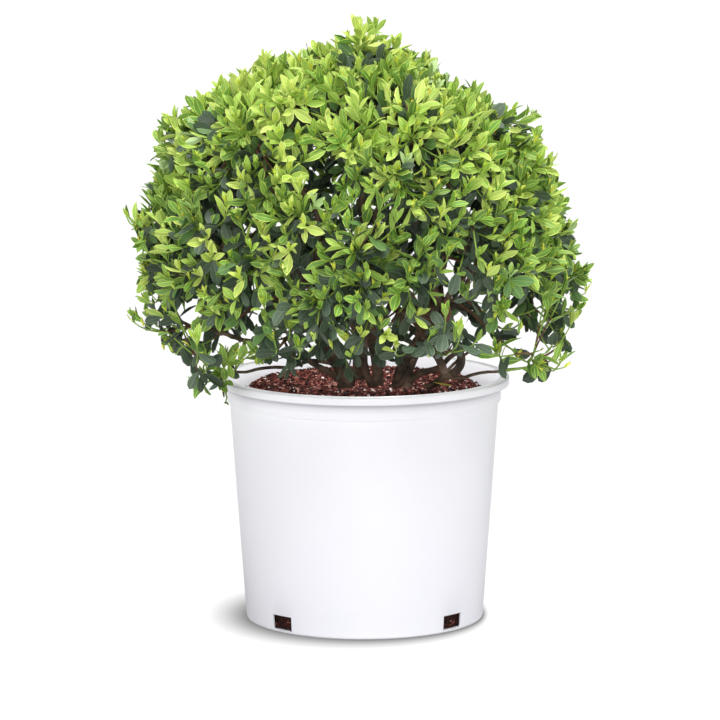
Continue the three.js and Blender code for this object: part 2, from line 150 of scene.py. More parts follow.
# %% Build the grain group
def build_grain_group():
    group = bpy.data.node_groups.new("surface_grain", "ShaderNodeTree")
    for name in ("Fine", "Broad"):
        group.interface.new_socket(f"{name} Scale", in_out="INPUT", socket_type="NodeSocketFloat")
        group.interface.new_socket(name, in_out="OUTPUT", socket_type="NodeSocketFloat")
    nodes, links = group.nodes, group.links
    ends = nodes.new("NodeGroupInput"), nodes.new("NodeGroupOutput")
    place = nodes.new("ShaderNodeTexCoord")
    for name, detail in (("Fine", 3), ("Broad", 5)):
        cloud = nodes.new("ShaderNodeTexNoise")
        cloud.inputs["Detail"].default_value = detail
        links.new(place.outputs["Object"], cloud.inputs["Vector"])
        links.new(ends[0].outputs[f"{name} Scale"], cloud.inputs["Scale"])
        links.new(cloud.outputs["Fac"], ends[1].inputs[name])
    return group


GRAIN = build_grain_group()
print("grain group with", len(GRAIN.nodes), "nodes")

# %% Write the material helpers
def new_material(name, colour, roughness, specular=0.5):
    material = bpy.data.materials.new(name)
    material.use_nodes = True
    shader = material.node_tree.nodes["Principled BSDF"]
    shader.inputs["Base Color"].default_value = linear(colour)
    shader.inputs["Roughness"].default_value = roughness
    shader.inputs["Specular IOR Level"].default_value = specular
    material.diffuse_color = linear(colour)
    return material


def add_grain(material, fine_scale, broad_scale):
    grain = material.node_tree.nodes.new("ShaderNodeGroup")
    grain.node_tree = GRAIN
    grain.inputs["Fine Scale"].default_value = fine_scale
    grain.inputs["Broad Scale"].default_value = broad_scale
    return grain


def new_ramp(material, value, stops):
    """A colour ramp that runs through the stops, (value, colour) each, as the value rises."""
    nodes, links = material.node_tree.nodes, material.node_tree.links
    node = nodes.new("ShaderNodeValToRGB")
    for place, _ in stops[1:-1]:
        node.color_ramp.elements.new(place)
    for element, (place, colour) in zip(node.color_ramp.elements, stops):
        element.position = place
        element.color = linear(colour)
    links.new(value, node.inputs["Fac"])
    return node


def ramp_colour(material, value, stops):
    ramp = new_ramp(material, value, stops)
    nodes, links = material.node_tree.nodes, material.node_tree.links
    links.new(ramp.outputs["Color"], nodes["Principled BSDF"].inputs["Base Color"])


def range_roughness(material, value, lowest, highest):
    nodes, links = material.node_tree.nodes, material.node_tree.links
    spread = nodes.new("ShaderNodeMapRange")
    spread.inputs["To Min"].default_value = lowest
    spread.inputs["To Max"].default_value = highest
    links.new(value, spread.inputs["Value"])
    links.new(spread.outputs["Result"], nodes["Principled BSDF"].inputs["Roughness"])


def add_bump(material, value, strength, distance):
    nodes, links = material.node_tree.nodes, material.node_tree.links
    bump = nodes.new("ShaderNodeBump")
    bump.inputs["Strength"].default_value = strength
    bump.inputs["Distance"].default_value = distance
    links.new(value, bump.inputs["Height"])
    links.new(bump.outputs["Normal"], nodes["Principled BSDF"].inputs["Normal"])


def math_node(material, operation, first, second):
    """A maths node of two values, each another node's output or a plain number."""
    node = material.node_tree.nodes.new("ShaderNodeMath")
    node.operation = operation
    for socket, value in zip(node.inputs, (first, second)):
        if isinstance(value, float):
            socket.default_value = value
        else:
            material.node_tree.links.new(value, socket)
    return node.outputs["Value"]


def vector_node(material, operation, first, second=None):
    """A vector maths node of another node's output and, where it needs one, a plain vector."""
    node = material.node_tree.nodes.new("ShaderNodeVectorMath")
    node.operation = operation
    material.node_tree.links.new(first, node.inputs[0])
    if second:
        node.inputs[1].default_value = second
    return node.outputs["Value" if operation in ("LENGTH", "DOT_PRODUCT") else "Vector"]


print("material helpers ready")

# %% [markdown]
# The ground in the picture is white paper with one soft shade close round the pot's foot. The lamps' own
# shadow would be wider than that and leave the paper grey, so the paper gives the camera its own white,
# and the shade is a ramp of greys by the distance from the foot. It lies a little more to the left and to
# the back. The light that comes up to the plant is still that of a plain light grey floor.

# %% Finish the floor
FOOT_EDGE = 0.117  # the shade starts at the pot's foot, this far from the middle in metres
SHADE_REACH = (0.023, 0.046, 0)  # how far it reaches to the sides and to the front and back, on average
SHADE_LEAN = (-0.017, 0.005, 0)  # and how much further to the left and to the back
SHADE_STOPS = [
    (0, "8e8e8e"), (0.1, "a0a0a0"), (0.3, "bdbdbd"), (0.5, "d6d6d6"), (0.7, "e9e9e9"), (0.9, "f8f8f8"),
    (1, "ffffff"),
]


def finish_floor():
    """White paper that shows the camera only the soft shade round the pot's foot."""
    material = new_material("floor_paper", "cacaca", roughness=0.9, specular=0.1)
    grain = add_grain(material, fine_scale=400, broad_scale=3)
    add_bump(material, grain.outputs["Fine"], strength=0.02, distance=MM)
    nodes, links = material.node_tree.nodes, material.node_tree.links
    place = nodes.new("ShaderNodeTexCoord").outputs["Object"]
    way = vector_node(material, "NORMALIZE", place)
    level = vector_node(material, "LENGTH", vector_node(material, "MULTIPLY", way, SHADE_REACH))
    lean = vector_node(material, "DOT_PRODUCT", way, SHADE_LEAN)
    reach = math_node(material, "ADD", level, lean)
    away = math_node(material, "SUBTRACT", vector_node(material, "LENGTH", place), FOOT_EDGE)
    shade = new_ramp(material, math_node(material, "DIVIDE", away, reach), SHADE_STOPS)
    paper = nodes.new("ShaderNodeEmission")
    paper.inputs["Strength"].default_value = PAPER_STRENGTH
    links.new(shade.outputs["Color"], paper.inputs["Color"])
    choice = nodes.new("ShaderNodeMixShader")
    links.new(nodes.new("ShaderNodeLightPath").outputs["Is Camera Ray"], choice.inputs["Fac"])
    links.new(nodes["Principled BSDF"].outputs["BSDF"], choice.inputs[1])
    links.new(paper.outputs["Emission"], choice.inputs[2])
    links.new(choice.outputs["Shader"], nodes["Material Output"].inputs["Surface"])
    return material


floor.data.materials.append(finish_floor())
print("shade round the foot in", len(SHADE_STOPS), "greys")

# %% [markdown]
# ## The pot
# A nursery pot is moulded in one piece: a tapered wall, an upright band near the top, a rolled lip and four
# drain windows at the foot. It could be a cylinder with cuts, but the wall's whole section is one line, so
# the section is drawn once and spun round. The windows are faces left out of both sides of the wall, whose
# edges are then bridged, which keeps the wall's real thickness in sight.

# %% Draw the pot's section
POT_HEIGHT = 240
LIP_RADIUS = 142.5
FOOT_RADIUS = 117
SHOULDER_RADIUS = 132
BAND_RADIUS = 134.3
BAND_FROM = 215.5
LIP_FROM = 231.5
WALL = 2.4
POT_FLOOR = 3
WINDOW_FROM = 2.4
WINDOW_TO = 16.8
FOOT_ROUND = 2
BAND_ROUND = 1
BAND_STEP = 1.4  # the band's rounded lower edge is centred this far above its underside
LIP_UNDER_ROUND = 1.6
LIP_ROUND = 2
INNER_STEP = 4  # the wall's inside steps out to the band this far above the outside
WALL_RINGS = 8
POT_STEPS = 120


def taper(height):
    """The outer radius of the body's wall at a height."""
    share = (height - POT_FLOOR) / (BAND_FROM - POT_FLOOR)
    return FOOT_RADIUS + (SHOULDER_RADIUS - FOOT_RADIUS) * share


def arc(centre, radius, start, end, steps):
    """Points of an arc in the section, from the start to the end angle in degrees."""
    turns = [math.radians(start + (end - start) * i / steps) for i in range(steps + 1)]
    return [(centre[0] + radius * math.cos(t), centre[1] + radius * math.sin(t)) for t in turns]


def pot_section():
    heights = [WINDOW_FROM, WINDOW_TO]
    highest = BAND_FROM - BAND_ROUND
    heights += [WINDOW_TO + (highest - WINDOW_TO) * (i + 1) / WALL_RINGS for i in range(WALL_RINGS)]
    outer = [(0, 0)] + arc((FOOT_RADIUS - FOOT_ROUND, FOOT_ROUND), FOOT_ROUND, -90, 0, 4)
    outer += [(taper(z), z) for z in heights]
    outer += [(SHOULDER_RADIUS, BAND_FROM)]
    outer += arc((BAND_RADIUS - BAND_ROUND, BAND_FROM + BAND_STEP), BAND_ROUND, -60, 0, 3)
    outer += [(BAND_RADIUS, LIP_FROM)]
    outer += arc((LIP_RADIUS - LIP_UNDER_ROUND, LIP_FROM + LIP_UNDER_ROUND), LIP_UNDER_ROUND, -90, 0, 4)
    outer += arc((LIP_RADIUS - LIP_ROUND, POT_HEIGHT - LIP_ROUND), LIP_ROUND, 0, 90, 5)
    inside = arc((BAND_RADIUS, POT_HEIGHT - WALL), WALL, 90, 180, 4)
    inside += [(BAND_RADIUS - WALL, BAND_FROM + INNER_STEP)]
    inside += [(taper(z) - WALL, z) for z in reversed(heights)]
    inside += [(0, WINDOW_FROM)]
    return outer + inside


section = pot_section()
print("pot section of", len(section), "points")

# %% Spin the section and open the drain windows
WINDOW_TURNS = (45, 135, 225, 315)
POT_TURN = 1.7  # degrees that the whole pot stands turned, against the clock from above
WINDOW_HALF = 6.1  # degrees each side of a window's middle
WINDOW_BEVEL = 0.5
SHARP_ABOVE = 38  # degrees between two faces whose edge stays crisp
MERGE = 0.01  # corners closer than this become one


def mesh_object(name, bm, *materials):
    """The bmesh as an object at the origin, with smooth faces."""
    for face in bm.faces:
        face.smooth = True
    data = bpy.data.meshes.new(name)
    bm.to_mesh(data)
    bm.free()
    for material in materials:
        data.materials.append(material)
    return link_new(name, data)


def spun(profile, steps):
    """A closed body from a section that starts and ends on the axis. Millimetres in, metres out."""
    bm = bmesh.new()
    points = [bm.verts.new((radius * MM, 0, height * MM)) for radius, height in profile]
    for a, b in zip(points, points[1:]):
        bm.edges.new((a, b))
    bmesh.ops.spin(
        bm, geom=bm.verts[:] + bm.edges[:], cent=(0, 0, 0), axis=(0, 0, 1), angle=2 * math.pi,
        steps=steps, use_merge=True,
    )
    bmesh.ops.remove_doubles(bm, verts=bm.verts, dist=MERGE * MM)
    bmesh.ops.recalc_face_normals(bm, faces=bm.faces)
    return bm


def in_window(face, turn):
    """Whether a wall face lies in the drain window at that turn."""
    middle = face.calc_center_median() / MM
    angle = math.degrees(math.atan2(middle.y, middle.x))
    away = (angle - turn + 180) % 360 - 180
    near_wall = math.hypot(middle.x, middle.y) > FOOT_RADIUS - 2 * WALL
    return abs(away) < WINDOW_HALF and WINDOW_FROM < middle.z < WINDOW_TO and near_wall


def open_window(bm, turn):
    """Deletes the window's faces on both sides of the wall, bridges the edges and eases their corners."""
    holes = [face for face in bm.faces if in_window(face, turn)]
    rims = [edge for face in holes for edge in face.edges if sum(f in holes for f in edge.link_faces) == 1]
    bmesh.ops.delete(bm, geom=holes, context="FACES")
    rims = [edge for edge in rims if edge.is_valid]
    bmesh.ops.bridge_loops(bm, edges=rims)
    bmesh.ops.bevel(
        bm, geom=rims, offset=WINDOW_BEVEL * MM, segments=2, profile=0.5, affect="EDGES", material=-1,
    )


pot_mesh = spun(section, POT_STEPS)
for turn in WINDOW_TURNS:
    open_window(pot_mesh, turn)
bmesh.ops.recalc_face_normals(pot_mesh, faces=pot_mesh.faces)
pot_turn = Matrix.Rotation(math.radians(POT_TURN), 3, "Z")
bmesh.ops.rotate(pot_mesh, cent=(0, 0, 0), matrix=pot_turn, verts=pot_mesh.verts)
for edge in pot_mesh.edges:
    edge.smooth = edge.calc_face_angle(0) < math.radians(SHARP_ABOVE)
pot = mesh_object("pot_shell", pot_mesh)
print("pot faces", len(pot.data.polygons))

# %% [markdown]
# The wall is white polypropylene with a satin skin: a faint moulding grain and cloudy patches where it is a
# little glossier. Its colour carries painted light: the white is painted lighter towards the top, where the
# crown shades the wall, and a narrow line of painted shade lies in the corner under the lip. A plain white
# would look like paper, so the painted change of white and the roughness both move with the shared grain,
# and the fine grain goes into a very low bump.

# %% Finish the pot
CLOUDS = 40.0  # how far the clouds move the painted change from darker to lighter, in millimetres
# painted light: the wall's white is lighter towards the top, where the crown shades the wall
WALL_PAINTED_LIGHT = [(0.05, "dedee4"), (0.3, "e3e3e9"), (0.8, "ebebf0"), (1, "f2f2f6")]  # by share of the height
LIP_PAINTED_SHADE = [  # painted shade under the lip: what the wall's colour is multiplied by, by share of the height
    (0, "ffffff"), (0.925, "ffffff"), (0.945, "efeef0"), (0.9625, "c6c2c6"), (0.9665, "c6c2c6"),
    (0.971, "ffffff"), (1, "ffffff"),
]
PAINTED_SHADE_BEYOND = 133.1  # that painted shade lies only this far out or further, so never on the wall's inside


def colour_wall(material, grain):
    """The wall's colour: painted light by its height, and a painted line of shade under the lip."""
    nodes, links = material.node_tree.nodes, material.node_tree.links
    place = nodes.new("ShaderNodeTexCoord").outputs["Object"]
    axes = nodes.new("ShaderNodeSeparateXYZ")
    links.new(place, axes.inputs["Vector"])
    cloud = math_node(material, "MULTIPLY", grain.outputs["Broad"], CLOUDS * MM)
    level = math_node(material, "ADD", axes.outputs["Z"], cloud)
    clouded = math_node(material, "DIVIDE", level, POT_HEIGHT * MM)
    height = math_node(material, "DIVIDE", axes.outputs["Z"], POT_HEIGHT * MM)
    flat = vector_node(material, "MULTIPLY", place, (1, 1, 0))
    across = vector_node(material, "LENGTH", flat)
    # painted shade: the line under the lip darkens the wall's white by multiplying it
    lip_shaded = nodes.new("ShaderNodeMix")
    lip_shaded.data_type = "RGBA"
    lip_shaded.blend_type = "MULTIPLY"
    links.new(math_node(material, "GREATER_THAN", across, PAINTED_SHADE_BEYOND * MM), lip_shaded.inputs["Factor"])
    links.new(new_ramp(material, clouded, WALL_PAINTED_LIGHT).outputs["Color"], lip_shaded.inputs["A"])
    links.new(new_ramp(material, height, LIP_PAINTED_SHADE).outputs["Color"], lip_shaded.inputs["B"])
    links.new(lip_shaded.outputs["Result"], nodes["Principled BSDF"].inputs["Base Color"])


pot_material = new_material("white_satin_plastic", "ededf2", roughness=0.42)
pot_grain = add_grain(pot_material, fine_scale=900, broad_scale=22)
colour_wall(pot_material, pot_grain)
range_roughness(pot_material, pot_grain.outputs["Broad"], lowest=0.36, highest=0.5)
add_bump(pot_material, pot_grain.outputs["Fine"], strength=0.12, distance=0.15 * MM)
pot.data.materials.append(pot_material)
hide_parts("pot")
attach(pot, "root")

# %% [markdown]
# ## The potting mix
# The pot is filled with shredded dark bark and white perlite grains, heaped a little towards the wall. A
# noise on a disc looks like mud, because the real surface is loose pieces with shadow between them. So a
# lumpy body is spun first, and thousands of small chips are laid on it as one joined mesh from arrays.

# %% Model the body of the mix
GAP = 0.3
GROUND = POT_HEIGHT - 8
HEAP = 7
MIX_STEPS = 72
MIX_RING = 4  # spacing of the rings over the top
MIX_LUMPS = 1.6
MIX_EDGE = 4  # the mix ends this far from the wall at the top
HEAP_IN = 22  # the heap's crest lies this far from that edge
HEAP_OUT = 50  # and has come down to level ground here
FRONT_EDGE = -4  # the mix's edge at the wall, from the level middle, at the front
BACK_EDGE = -14  # and at the sides and back, where it has sunk
FRONT_FROM = 46  # it changes from the one to the other from this far in front of the middle
FRONT_OVER = 44  # and over this length
LUMP_SCALE = 0.045
CRUMB_SCALE = 0.16
CRUMB_LAYER = 9  # where the finer noise is taken, away from the broader one
MIX_FOOT_IN = 1  # the mix's foot and its shoulder keep this much more room from the wall
MIX_SHOULDER_IN = 0.5


def inner_wall(height):
    """The radius left for the mix at a height."""
    share = min(height, BAND_FROM) / BAND_FROM
    return FOOT_RADIUS + (SHOULDER_RADIUS - FOOT_RADIUS) * share - WALL - 2 * GAP


MIX_TOP = inner_wall(GROUND) - MIX_EDGE


def ground_height(x, y):
    """The level of the mix: flat in the middle, heaped in a ring, and falling to the wall."""
    out = math.hypot(x, y)
    front = min(max((-y - FRONT_FROM) / FRONT_OVER, 0), 1)
    edge = BACK_EDGE + (FRONT_EDGE - BACK_EDGE) * front
    rise = np.interp(out, [MIX_TOP - HEAP_OUT, MIX_TOP - HEAP_IN, MIX_TOP], [0, HEAP * front, edge])
    lump = noise.noise(Vector((x, y, 0)) * LUMP_SCALE) * MIX_LUMPS
    crumb = noise.noise(Vector((x, y, CRUMB_LAYER)) * CRUMB_SCALE)
    return GROUND + rise + (lump + crumb)


foot = POT_FLOOR + 2 * GAP
rings = [MIX_TOP * i / round(MIX_TOP / MIX_RING) for i in range(round(MIX_TOP / MIX_RING), -1, -1)]
mix_section = [(0, foot), (inner_wall(foot) - MIX_FOOT_IN, foot)]
mix_section += [(inner_wall(BAND_FROM) - MIX_SHOULDER_IN, BAND_FROM)]
mix_mesh = spun(mix_section + [(radius, GROUND) for radius in rings], MIX_STEPS)
for vert in mix_mesh.verts:
    if vert.co.z > (GROUND - 1) * MM:
        vert.co.z = ground_height(vert.co.x / MM, vert.co.y / MM) * MM
mix_body = mesh_object("mix_body", mix_mesh)
print("mix faces", len(mix_body.data.polygons))

# %% Join meshes from arrays
def arrays_of(bm):
    """Corner places and triangles of a small bmesh, with each triangle's material number."""
    bmesh.ops.triangulate(bm, faces=bm.faces)
    bm.verts.index_update()
    places = np.array([vert.co for vert in bm.verts])
    triangles = np.array([[vert.index for vert in face.verts] for face in bm.faces])
    slots = np.array([face.material_index for face in bm.faces])
    bm.free()
    return places, triangles, slots


def mesh_from_arrays(name, places, faces, slots, materials):
    """One object from corner places in metres, faces that all have as many corners, and slot numbers."""
    data = bpy.data.meshes.new(name)
    corners = faces.shape[1]
    data.vertices.add(len(places))
    data.vertices.foreach_set("co", places.astype(np.float32).ravel())
    data.loops.add(faces.size)
    data.loops.foreach_set("vertex_index", faces.astype(np.int32).ravel())
    data.polygons.add(len(faces))
    data.polygons.foreach_set("loop_start", np.arange(len(faces), dtype=np.int32) * corners)
    for material in materials:
        data.materials.append(material)
    data.polygons.foreach_set("material_index", slots.astype(np.int32))
    data.polygons.foreach_set("use_smooth", np.ones(len(faces), bool))
    data.update(calc_edges=True)
    data.validate()
    return link_new(name, data)


def copies(template, bases, roots, tints):
    """A template copied to each basis and root. tints is the first material slot of each copy."""
    places, triangles, slots = template
    moved = np.einsum("nij,vj->nvi", bases, places) + roots[:, None]
    shift = np.arange(len(roots))[:, None, None] * len(places)
    return (
        moved.reshape(-1, 3),
        (triangles[None] + shift).reshape(-1, 3),
        (slots[None] + tints[:, None]).ravel(),
    )


def stacked(parts):
    """Several sets of (places, faces, slots) as one."""
    offset = np.cumsum([0] + [len(part[0]) for part in parts[:-1]])
    faces = [part[1] + shift for part, shift in zip(parts, offset)]
    return (
        np.concatenate([part[0] for part in parts]),
        np.concatenate(faces),
        np.concatenate([part[2] for part in parts]),
    )


print("array helpers ready")

# %% Scatter bark chips and perlite
CHIPS = 10500
CHIP_LENGTH = (1.4, 4.8)
CHIP_SHAPES = [(1, 0.55, 0.32), (1, 0.3, 0.24), (0.8, 0.7, 0.4)]
CHIP_JITTER = 0.22
CHIP_LEANS = (0.9, 0.7)  # the most that a chip leans about its two level axes, in radians
PERLITE = 240
PERLITE_SIZE = (0.9, 2.2)
PERLITE_LUMPS = (0.75, 1.15)
WINDOW_CHIPS = 90  # behind each drain window
WINDOW_CHIPS_IN = 3  # they lie this far inside the room that the wall leaves
WINDOW_CHIPS_SPREAD = 1.1  # and over this many times the window's width
CHIP_TINTS = ["240f0b", "532720", "7e443b", "b88578"]
CHIP_SHARES = [0.35, 0.34, 0.23, 0.08]
chance = random.Random(7)


def rough_block(jitter, shape):
    """A chip: a cube with its corners pushed about, flattened to a shape."""
    bm = bmesh.new()
    bmesh.ops.create_cube(bm, size=1)
    for vert in bm.verts:
        vert.co += Vector([chance.uniform(-jitter, jitter) for _ in range(3)])
    bmesh.ops.scale(bm, vec=shape, verts=bm.verts)
    return arrays_of(bm)


def grain_of_perlite():
    bm = bmesh.new()
    bmesh.ops.create_icosphere(bm, subdivisions=1, radius=1)
    for vert in bm.verts:
        vert.co *= chance.uniform(*PERLITE_LUMPS)
    return arrays_of(bm)


def turned(size):
    """A random turn as a 3 by 3 basis, at a size."""
    first, second, level = [chance.uniform(0, 2 * math.pi) for _ in range(3)]
    lean = Matrix.Rotation(math.sin(first) * CHIP_LEANS[0], 3, "X")
    lean = lean @ Matrix.Rotation(math.sin(second) * CHIP_LEANS[1], 3, "Y")
    return np.array(Matrix.Rotation(level, 3, "Z") @ lean) * size


def scatter_places(count, sunk):
    """Random places on top of the mix."""
    places = []
    for _ in range(count):
        out = MIX_TOP * math.sqrt(chance.random())
        turn = chance.uniform(0, 2 * math.pi)
        x, y = out * math.cos(turn), out * math.sin(turn)
        places.append((x, y, ground_height(x, y) + sunk * chance.uniform(-1, 1)))
    return places


def window_places(count):
    """Random places on the mix's side, behind the drain windows."""
    places = []
    for turn in WINDOW_TURNS:
        for _ in range(count):
            aside = chance.uniform(-WINDOW_HALF, WINDOW_HALF) * WINDOW_CHIPS_SPREAD
            angle = math.radians(turn + POT_TURN + aside)
            height = chance.uniform(WINDOW_FROM + 1, WINDOW_TO + 1)
            out = inner_wall(height) - WINDOW_CHIPS_IN
            places.append((out * math.cos(angle), out * math.sin(angle), height))
    return places


chip_shapes = [rough_block(CHIP_JITTER, shape) for shape in CHIP_SHAPES]
chip_places = scatter_places(CHIPS, sunk=0.8) + window_places(WINDOW_CHIPS)
chip_parts = []
for i, shape in enumerate(chip_shapes):
    own = np.array(chip_places[i::len(chip_shapes)]) * MM
    bases = np.array([turned(chance.uniform(*CHIP_LENGTH) * MM) for _ in own])
    tints = np.array(chance.choices(range(len(CHIP_TINTS)), CHIP_SHARES, k=len(own)))
    chip_parts.append(copies(shape, bases, own, tints))
perlite_places = np.array(scatter_places(PERLITE, sunk=0.6)) * MM
perlite_bases = np.array([turned(chance.uniform(*PERLITE_SIZE) * MM) for _ in perlite_places])
white = np.full(PERLITE, len(CHIP_TINTS))
chip_parts.append(copies(grain_of_perlite(), perlite_bases, perlite_places, white))
print("chips", len(chip_places), "perlite", PERLITE)

# %% [markdown]
# Shredded bark isn't one brown: fresh breaks are pale and wet skin is nearly black. Each chip has one
# colour, and four browns are dealt out by their shares, which gives the sharp change from piece to piece
# that the real mix has. Only the body under them runs from one brown to the next by the shared grain.

# %% Finish the mix
chip_materials = []
for i, tint in enumerate(CHIP_TINTS):
    material = new_material(f"bark_chip_{i + 1}", tint, roughness=0.85, specular=0.25)
    chip_grain = add_grain(material, fine_scale=900, broad_scale=150)
    add_bump(material, chip_grain.outputs["Fine"], strength=0.5, distance=0.3 * MM)
    chip_materials.append(material)
perlite_material = new_material("perlite", "e6dcd6", roughness=0.8, specular=0.3)
chips = mesh_from_arrays("mix_chips", *stacked(chip_parts), chip_materials + [perlite_material])
for polygon in chips.data.polygons:
    polygon.use_smooth = False

mix_material = new_material("potting_mix", "4a231e", roughness=0.95, specular=0.2)
mix_grain = add_grain(mix_material, fine_scale=420, broad_scale=90)
ramp_colour(mix_material, mix_grain.outputs["Broad"], [(0.35, "1d0b09"), (0.55, "38180f"), (0.8, "5b2e26")])
add_bump(mix_material, mix_grain.outputs["Fine"], strength=0.9, distance=MM)
mix_body.data.materials.append(mix_material)
for piece in (mix_body, chips):
    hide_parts("potting_mix")
    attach(piece, "root")
print("mix pieces", mix_body.name, "and", chips.name)

# %% [markdown]
# In the picture the pot's inner wall is nearly as white as the outside, because light comes through the
# thin edge of the crown from every side. The suns are held up by the leaves before they get there. So one
# soft light stands over the mix, and light linking lets it reach only the pot and the mix.

# %% Light the inside of the rim
RIM_LIGHT_PLACE = (0, -20, 320)
RIM_LIGHT_RADIUS = 90
RIM_LIGHT_POWER = 1.4


def add_linked_light(name, place, radius, power, lit):
    """A soft round light that lights only some objects, and that the leaves don't hold up."""
    data = bpy.data.lights.new(name, "POINT")
    data.energy = power
    data.shadow_soft_size = radius * MM
    light = link_new(name, data)
    light.location = Vector(place) * MM
    receivers = bpy.data.collections.new(f"{name}_receivers")
    for piece in lit:
        receivers.objects.link(piece)
    light.light_linking.receiver_collection = receivers
    light.light_linking.blocker_collection = receivers
    return light


add_linked_light("rim_light", RIM_LIGHT_PLACE, RIM_LIGHT_RADIUS, RIM_LIGHT_POWER, [pot, mix_body, chips])
print("rim light of", RIM_LIGHT_POWER, "W")

# %% [markdown]
# ## Stems and boughs
# Five woody stems rise close together from the mix, and each parts into boughs that curve out into the
# crown. Their lines are worked out by the same rule as the solid limbs': a stem leaves the mix upright and
# leans to its tip, and a bough leaves the nearest stem, lowest first, and ends inside its mass of leaves.

# %% Work out the crown and its masses
CROWN = Vector((-5, 0, 358))
CROWN_RADIUS = 214
CROWN_ABOVE = 214
CROWN_BELOW = 192
FULLNESS = 2.2
CENTRE_SHARE = 0.66
FOOT_SHARE = 0.42
RINGS = [("upper", 5, 44, -68), ("side", 7, 4, -90), ("skirt", 6, -27, -62)]
LOW_MASSES = [  # the two that hang over the rim: name, the bough's end, and the centre
    ("low_left", (-128, -66, 254), (-160, -84, 262)),
    ("low_right", (136, -64, 254), (178, -80, 268)),
]
LOWEST_LEAVES = {"low_left": 227, "low_right": 238}  # their leaves hang down past the rim to here


def depth(point):
    """How far out of the crown's middle a point lies: 1 is on the dome's skin."""
    away = point - CROWN
    across = math.hypot(away.x, away.y) / CROWN_RADIUS
    upright = abs(away.z) / (CROWN_ABOVE if away.z > 0 else CROWN_BELOW)
    return (across ** FULLNESS + upright ** FULLNESS) ** (1 / FULLNESS)


def crown_point(direction, share):
    unit = direction.normalized()
    return CROWN + unit * (share / depth(CROWN + unit))


def facing(azimuth, elevation):
    turn, lift = math.radians(azimuth), math.radians(elevation)
    return Vector((math.cos(turn) * math.cos(lift), math.sin(turn) * math.cos(lift), math.sin(lift)))


def mass_list():
    named = [("top", UP)]
    for ring, count, elevation, start in RINGS:
        named += [(f"{ring}_{i + 1}", facing(start + i * 360 / count, elevation)) for i in range(count)]
    masses = [
        {"name": name, "centre": crown_point(way, CENTRE_SHARE), "end": crown_point(way, FOOT_SHARE),
         "over_rim": False}
        for name, way in named
    ]
    return masses + [
        {"name": name, "centre": Vector(centre), "end": Vector(end), "over_rim": True}
        for name, end, centre in LOW_MASSES
    ]


masses = mass_list()
print("masses", len(masses))

# %% Draw the lines of the stems and boughs
STEMS = [
    {"name": "stem_left", "foot": (-18, -36), "tip": (-40, -22, 58), "radii": (8.5, 5.5)},
    {"name": "stem_middle", "foot": (13, -30), "tip": (4, -18, 92), "radii": (5.4, 4.2)},
    {"name": "stem_right", "foot": (39, -26), "tip": (66, -8, 62), "radii": (9.5, 5.5)},
    {"name": "stem_back", "foot": (-2, 22), "tip": (-6, 48, 70), "radii": (8, 5)},
    {"name": "stem_slender", "foot": (55, -40), "tip": (86, -52, 17), "radii": (4.2, 3.6)},
]
FLARE = 1.35
FLARE_FADES = 9  # how soon a stem's flare is gone, upwards from its foot
BOUGH_RADII = (4.3, 2.6)
STEM_BURIED = 6
STEM_RISE = 0.35  # the share of its height that a stem rises upright at its foot
STEM_TURN = 0.6  # the share of the way at which it turns to its tip
STEM_LIFT = 0.08
BOUGH_START = 0.35  # how far a bough's first and last direction carry, as shares of its span
BOUGH_END = 0.3
BOUGH_FOLLOWS = 0.35  # how much a bough keeps its stem's direction where it leaves it
TIP_BOUGH_FOLLOWS = 0.9  # and where it runs on from the stem's tip
BOUGH_STRAIGHT = 0.4  # how much a bough's end keeps to the straight way, and how much it rises
BOUGH_RISE = 0.25
LOWEST_LEAVE = 0.3  # the share of its stem at which a stem's lowest bough leaves it, at the least
CURVE_STEPS = 60
HEADING_STEP = 0.01


class Line:
    """A cubic curve that is walked by its length, as limbs and twigs are."""

    def __init__(self, start, first, second, end):
        shares = np.linspace(0, 1, CURVE_STEPS + 1)[:, None]
        rest = 1 - shares
        a, b, c, d = (np.array(point) for point in (start, first, second, end))
        self.points = a * rest ** 3 + 3 * b * shares * rest ** 2
        self.points = self.points + 3 * c * shares ** 2 * rest + d * shares ** 3
        steps = np.linalg.norm(np.diff(self.points, axis=0), axis=1)
        self.walked = np.concatenate([[0], np.cumsum(steps)])
        self.length = self.walked[-1]

    def at(self, share):
        walked = share * self.length
        return Vector([np.interp(walked, self.walked, self.points[:, i]) for i in range(3)])

    def heading(self, share):
        near, far = max(share - HEADING_STEP, 0), min(share + HEADING_STEP, 1)
        return (self.at(far) - self.at(near)).normalized()


def stem_line(foot, tip):
    base = Vector((foot[0], foot[1], GROUND - STEM_BURIED))
    end = Vector((tip[0], tip[1], GROUND + tip[2]))
    first = base + UP * (tip[2] * STEM_RISE + STEM_BURIED)
    return Line(base, first, base.lerp(end, STEM_TURN) + UP * tip[2] * STEM_LIFT, end)


def bough_line(mass, stem, leave):
    """Curves out from its stem to its mass's inner side."""
    along = stem["line"].heading(leave)
    start = stem["line"].at(leave)
    end = mass["end"]
    span = (end - start).length
    out = (end - start).normalized()
    first = out.lerp(along, TIP_BOUGH_FOLLOWS if leave == 1 else BOUGH_FOLLOWS).normalized()
    level = Vector((end.x - CROWN.x, end.y - CROWN.y, 0)).normalized()
    last = (level.lerp(out, BOUGH_STRAIGHT) + UP * BOUGH_RISE).normalized()
    return Line(start, start + first * span * BOUGH_START, end - last * span * BOUGH_END, end)


def nearest_stem(mass):
    away = [math.hypot(s["tip"][0] - mass["end"].x, s["tip"][1] - mass["end"].y) for s in STEMS]
    return STEMS[away.index(min(away))]


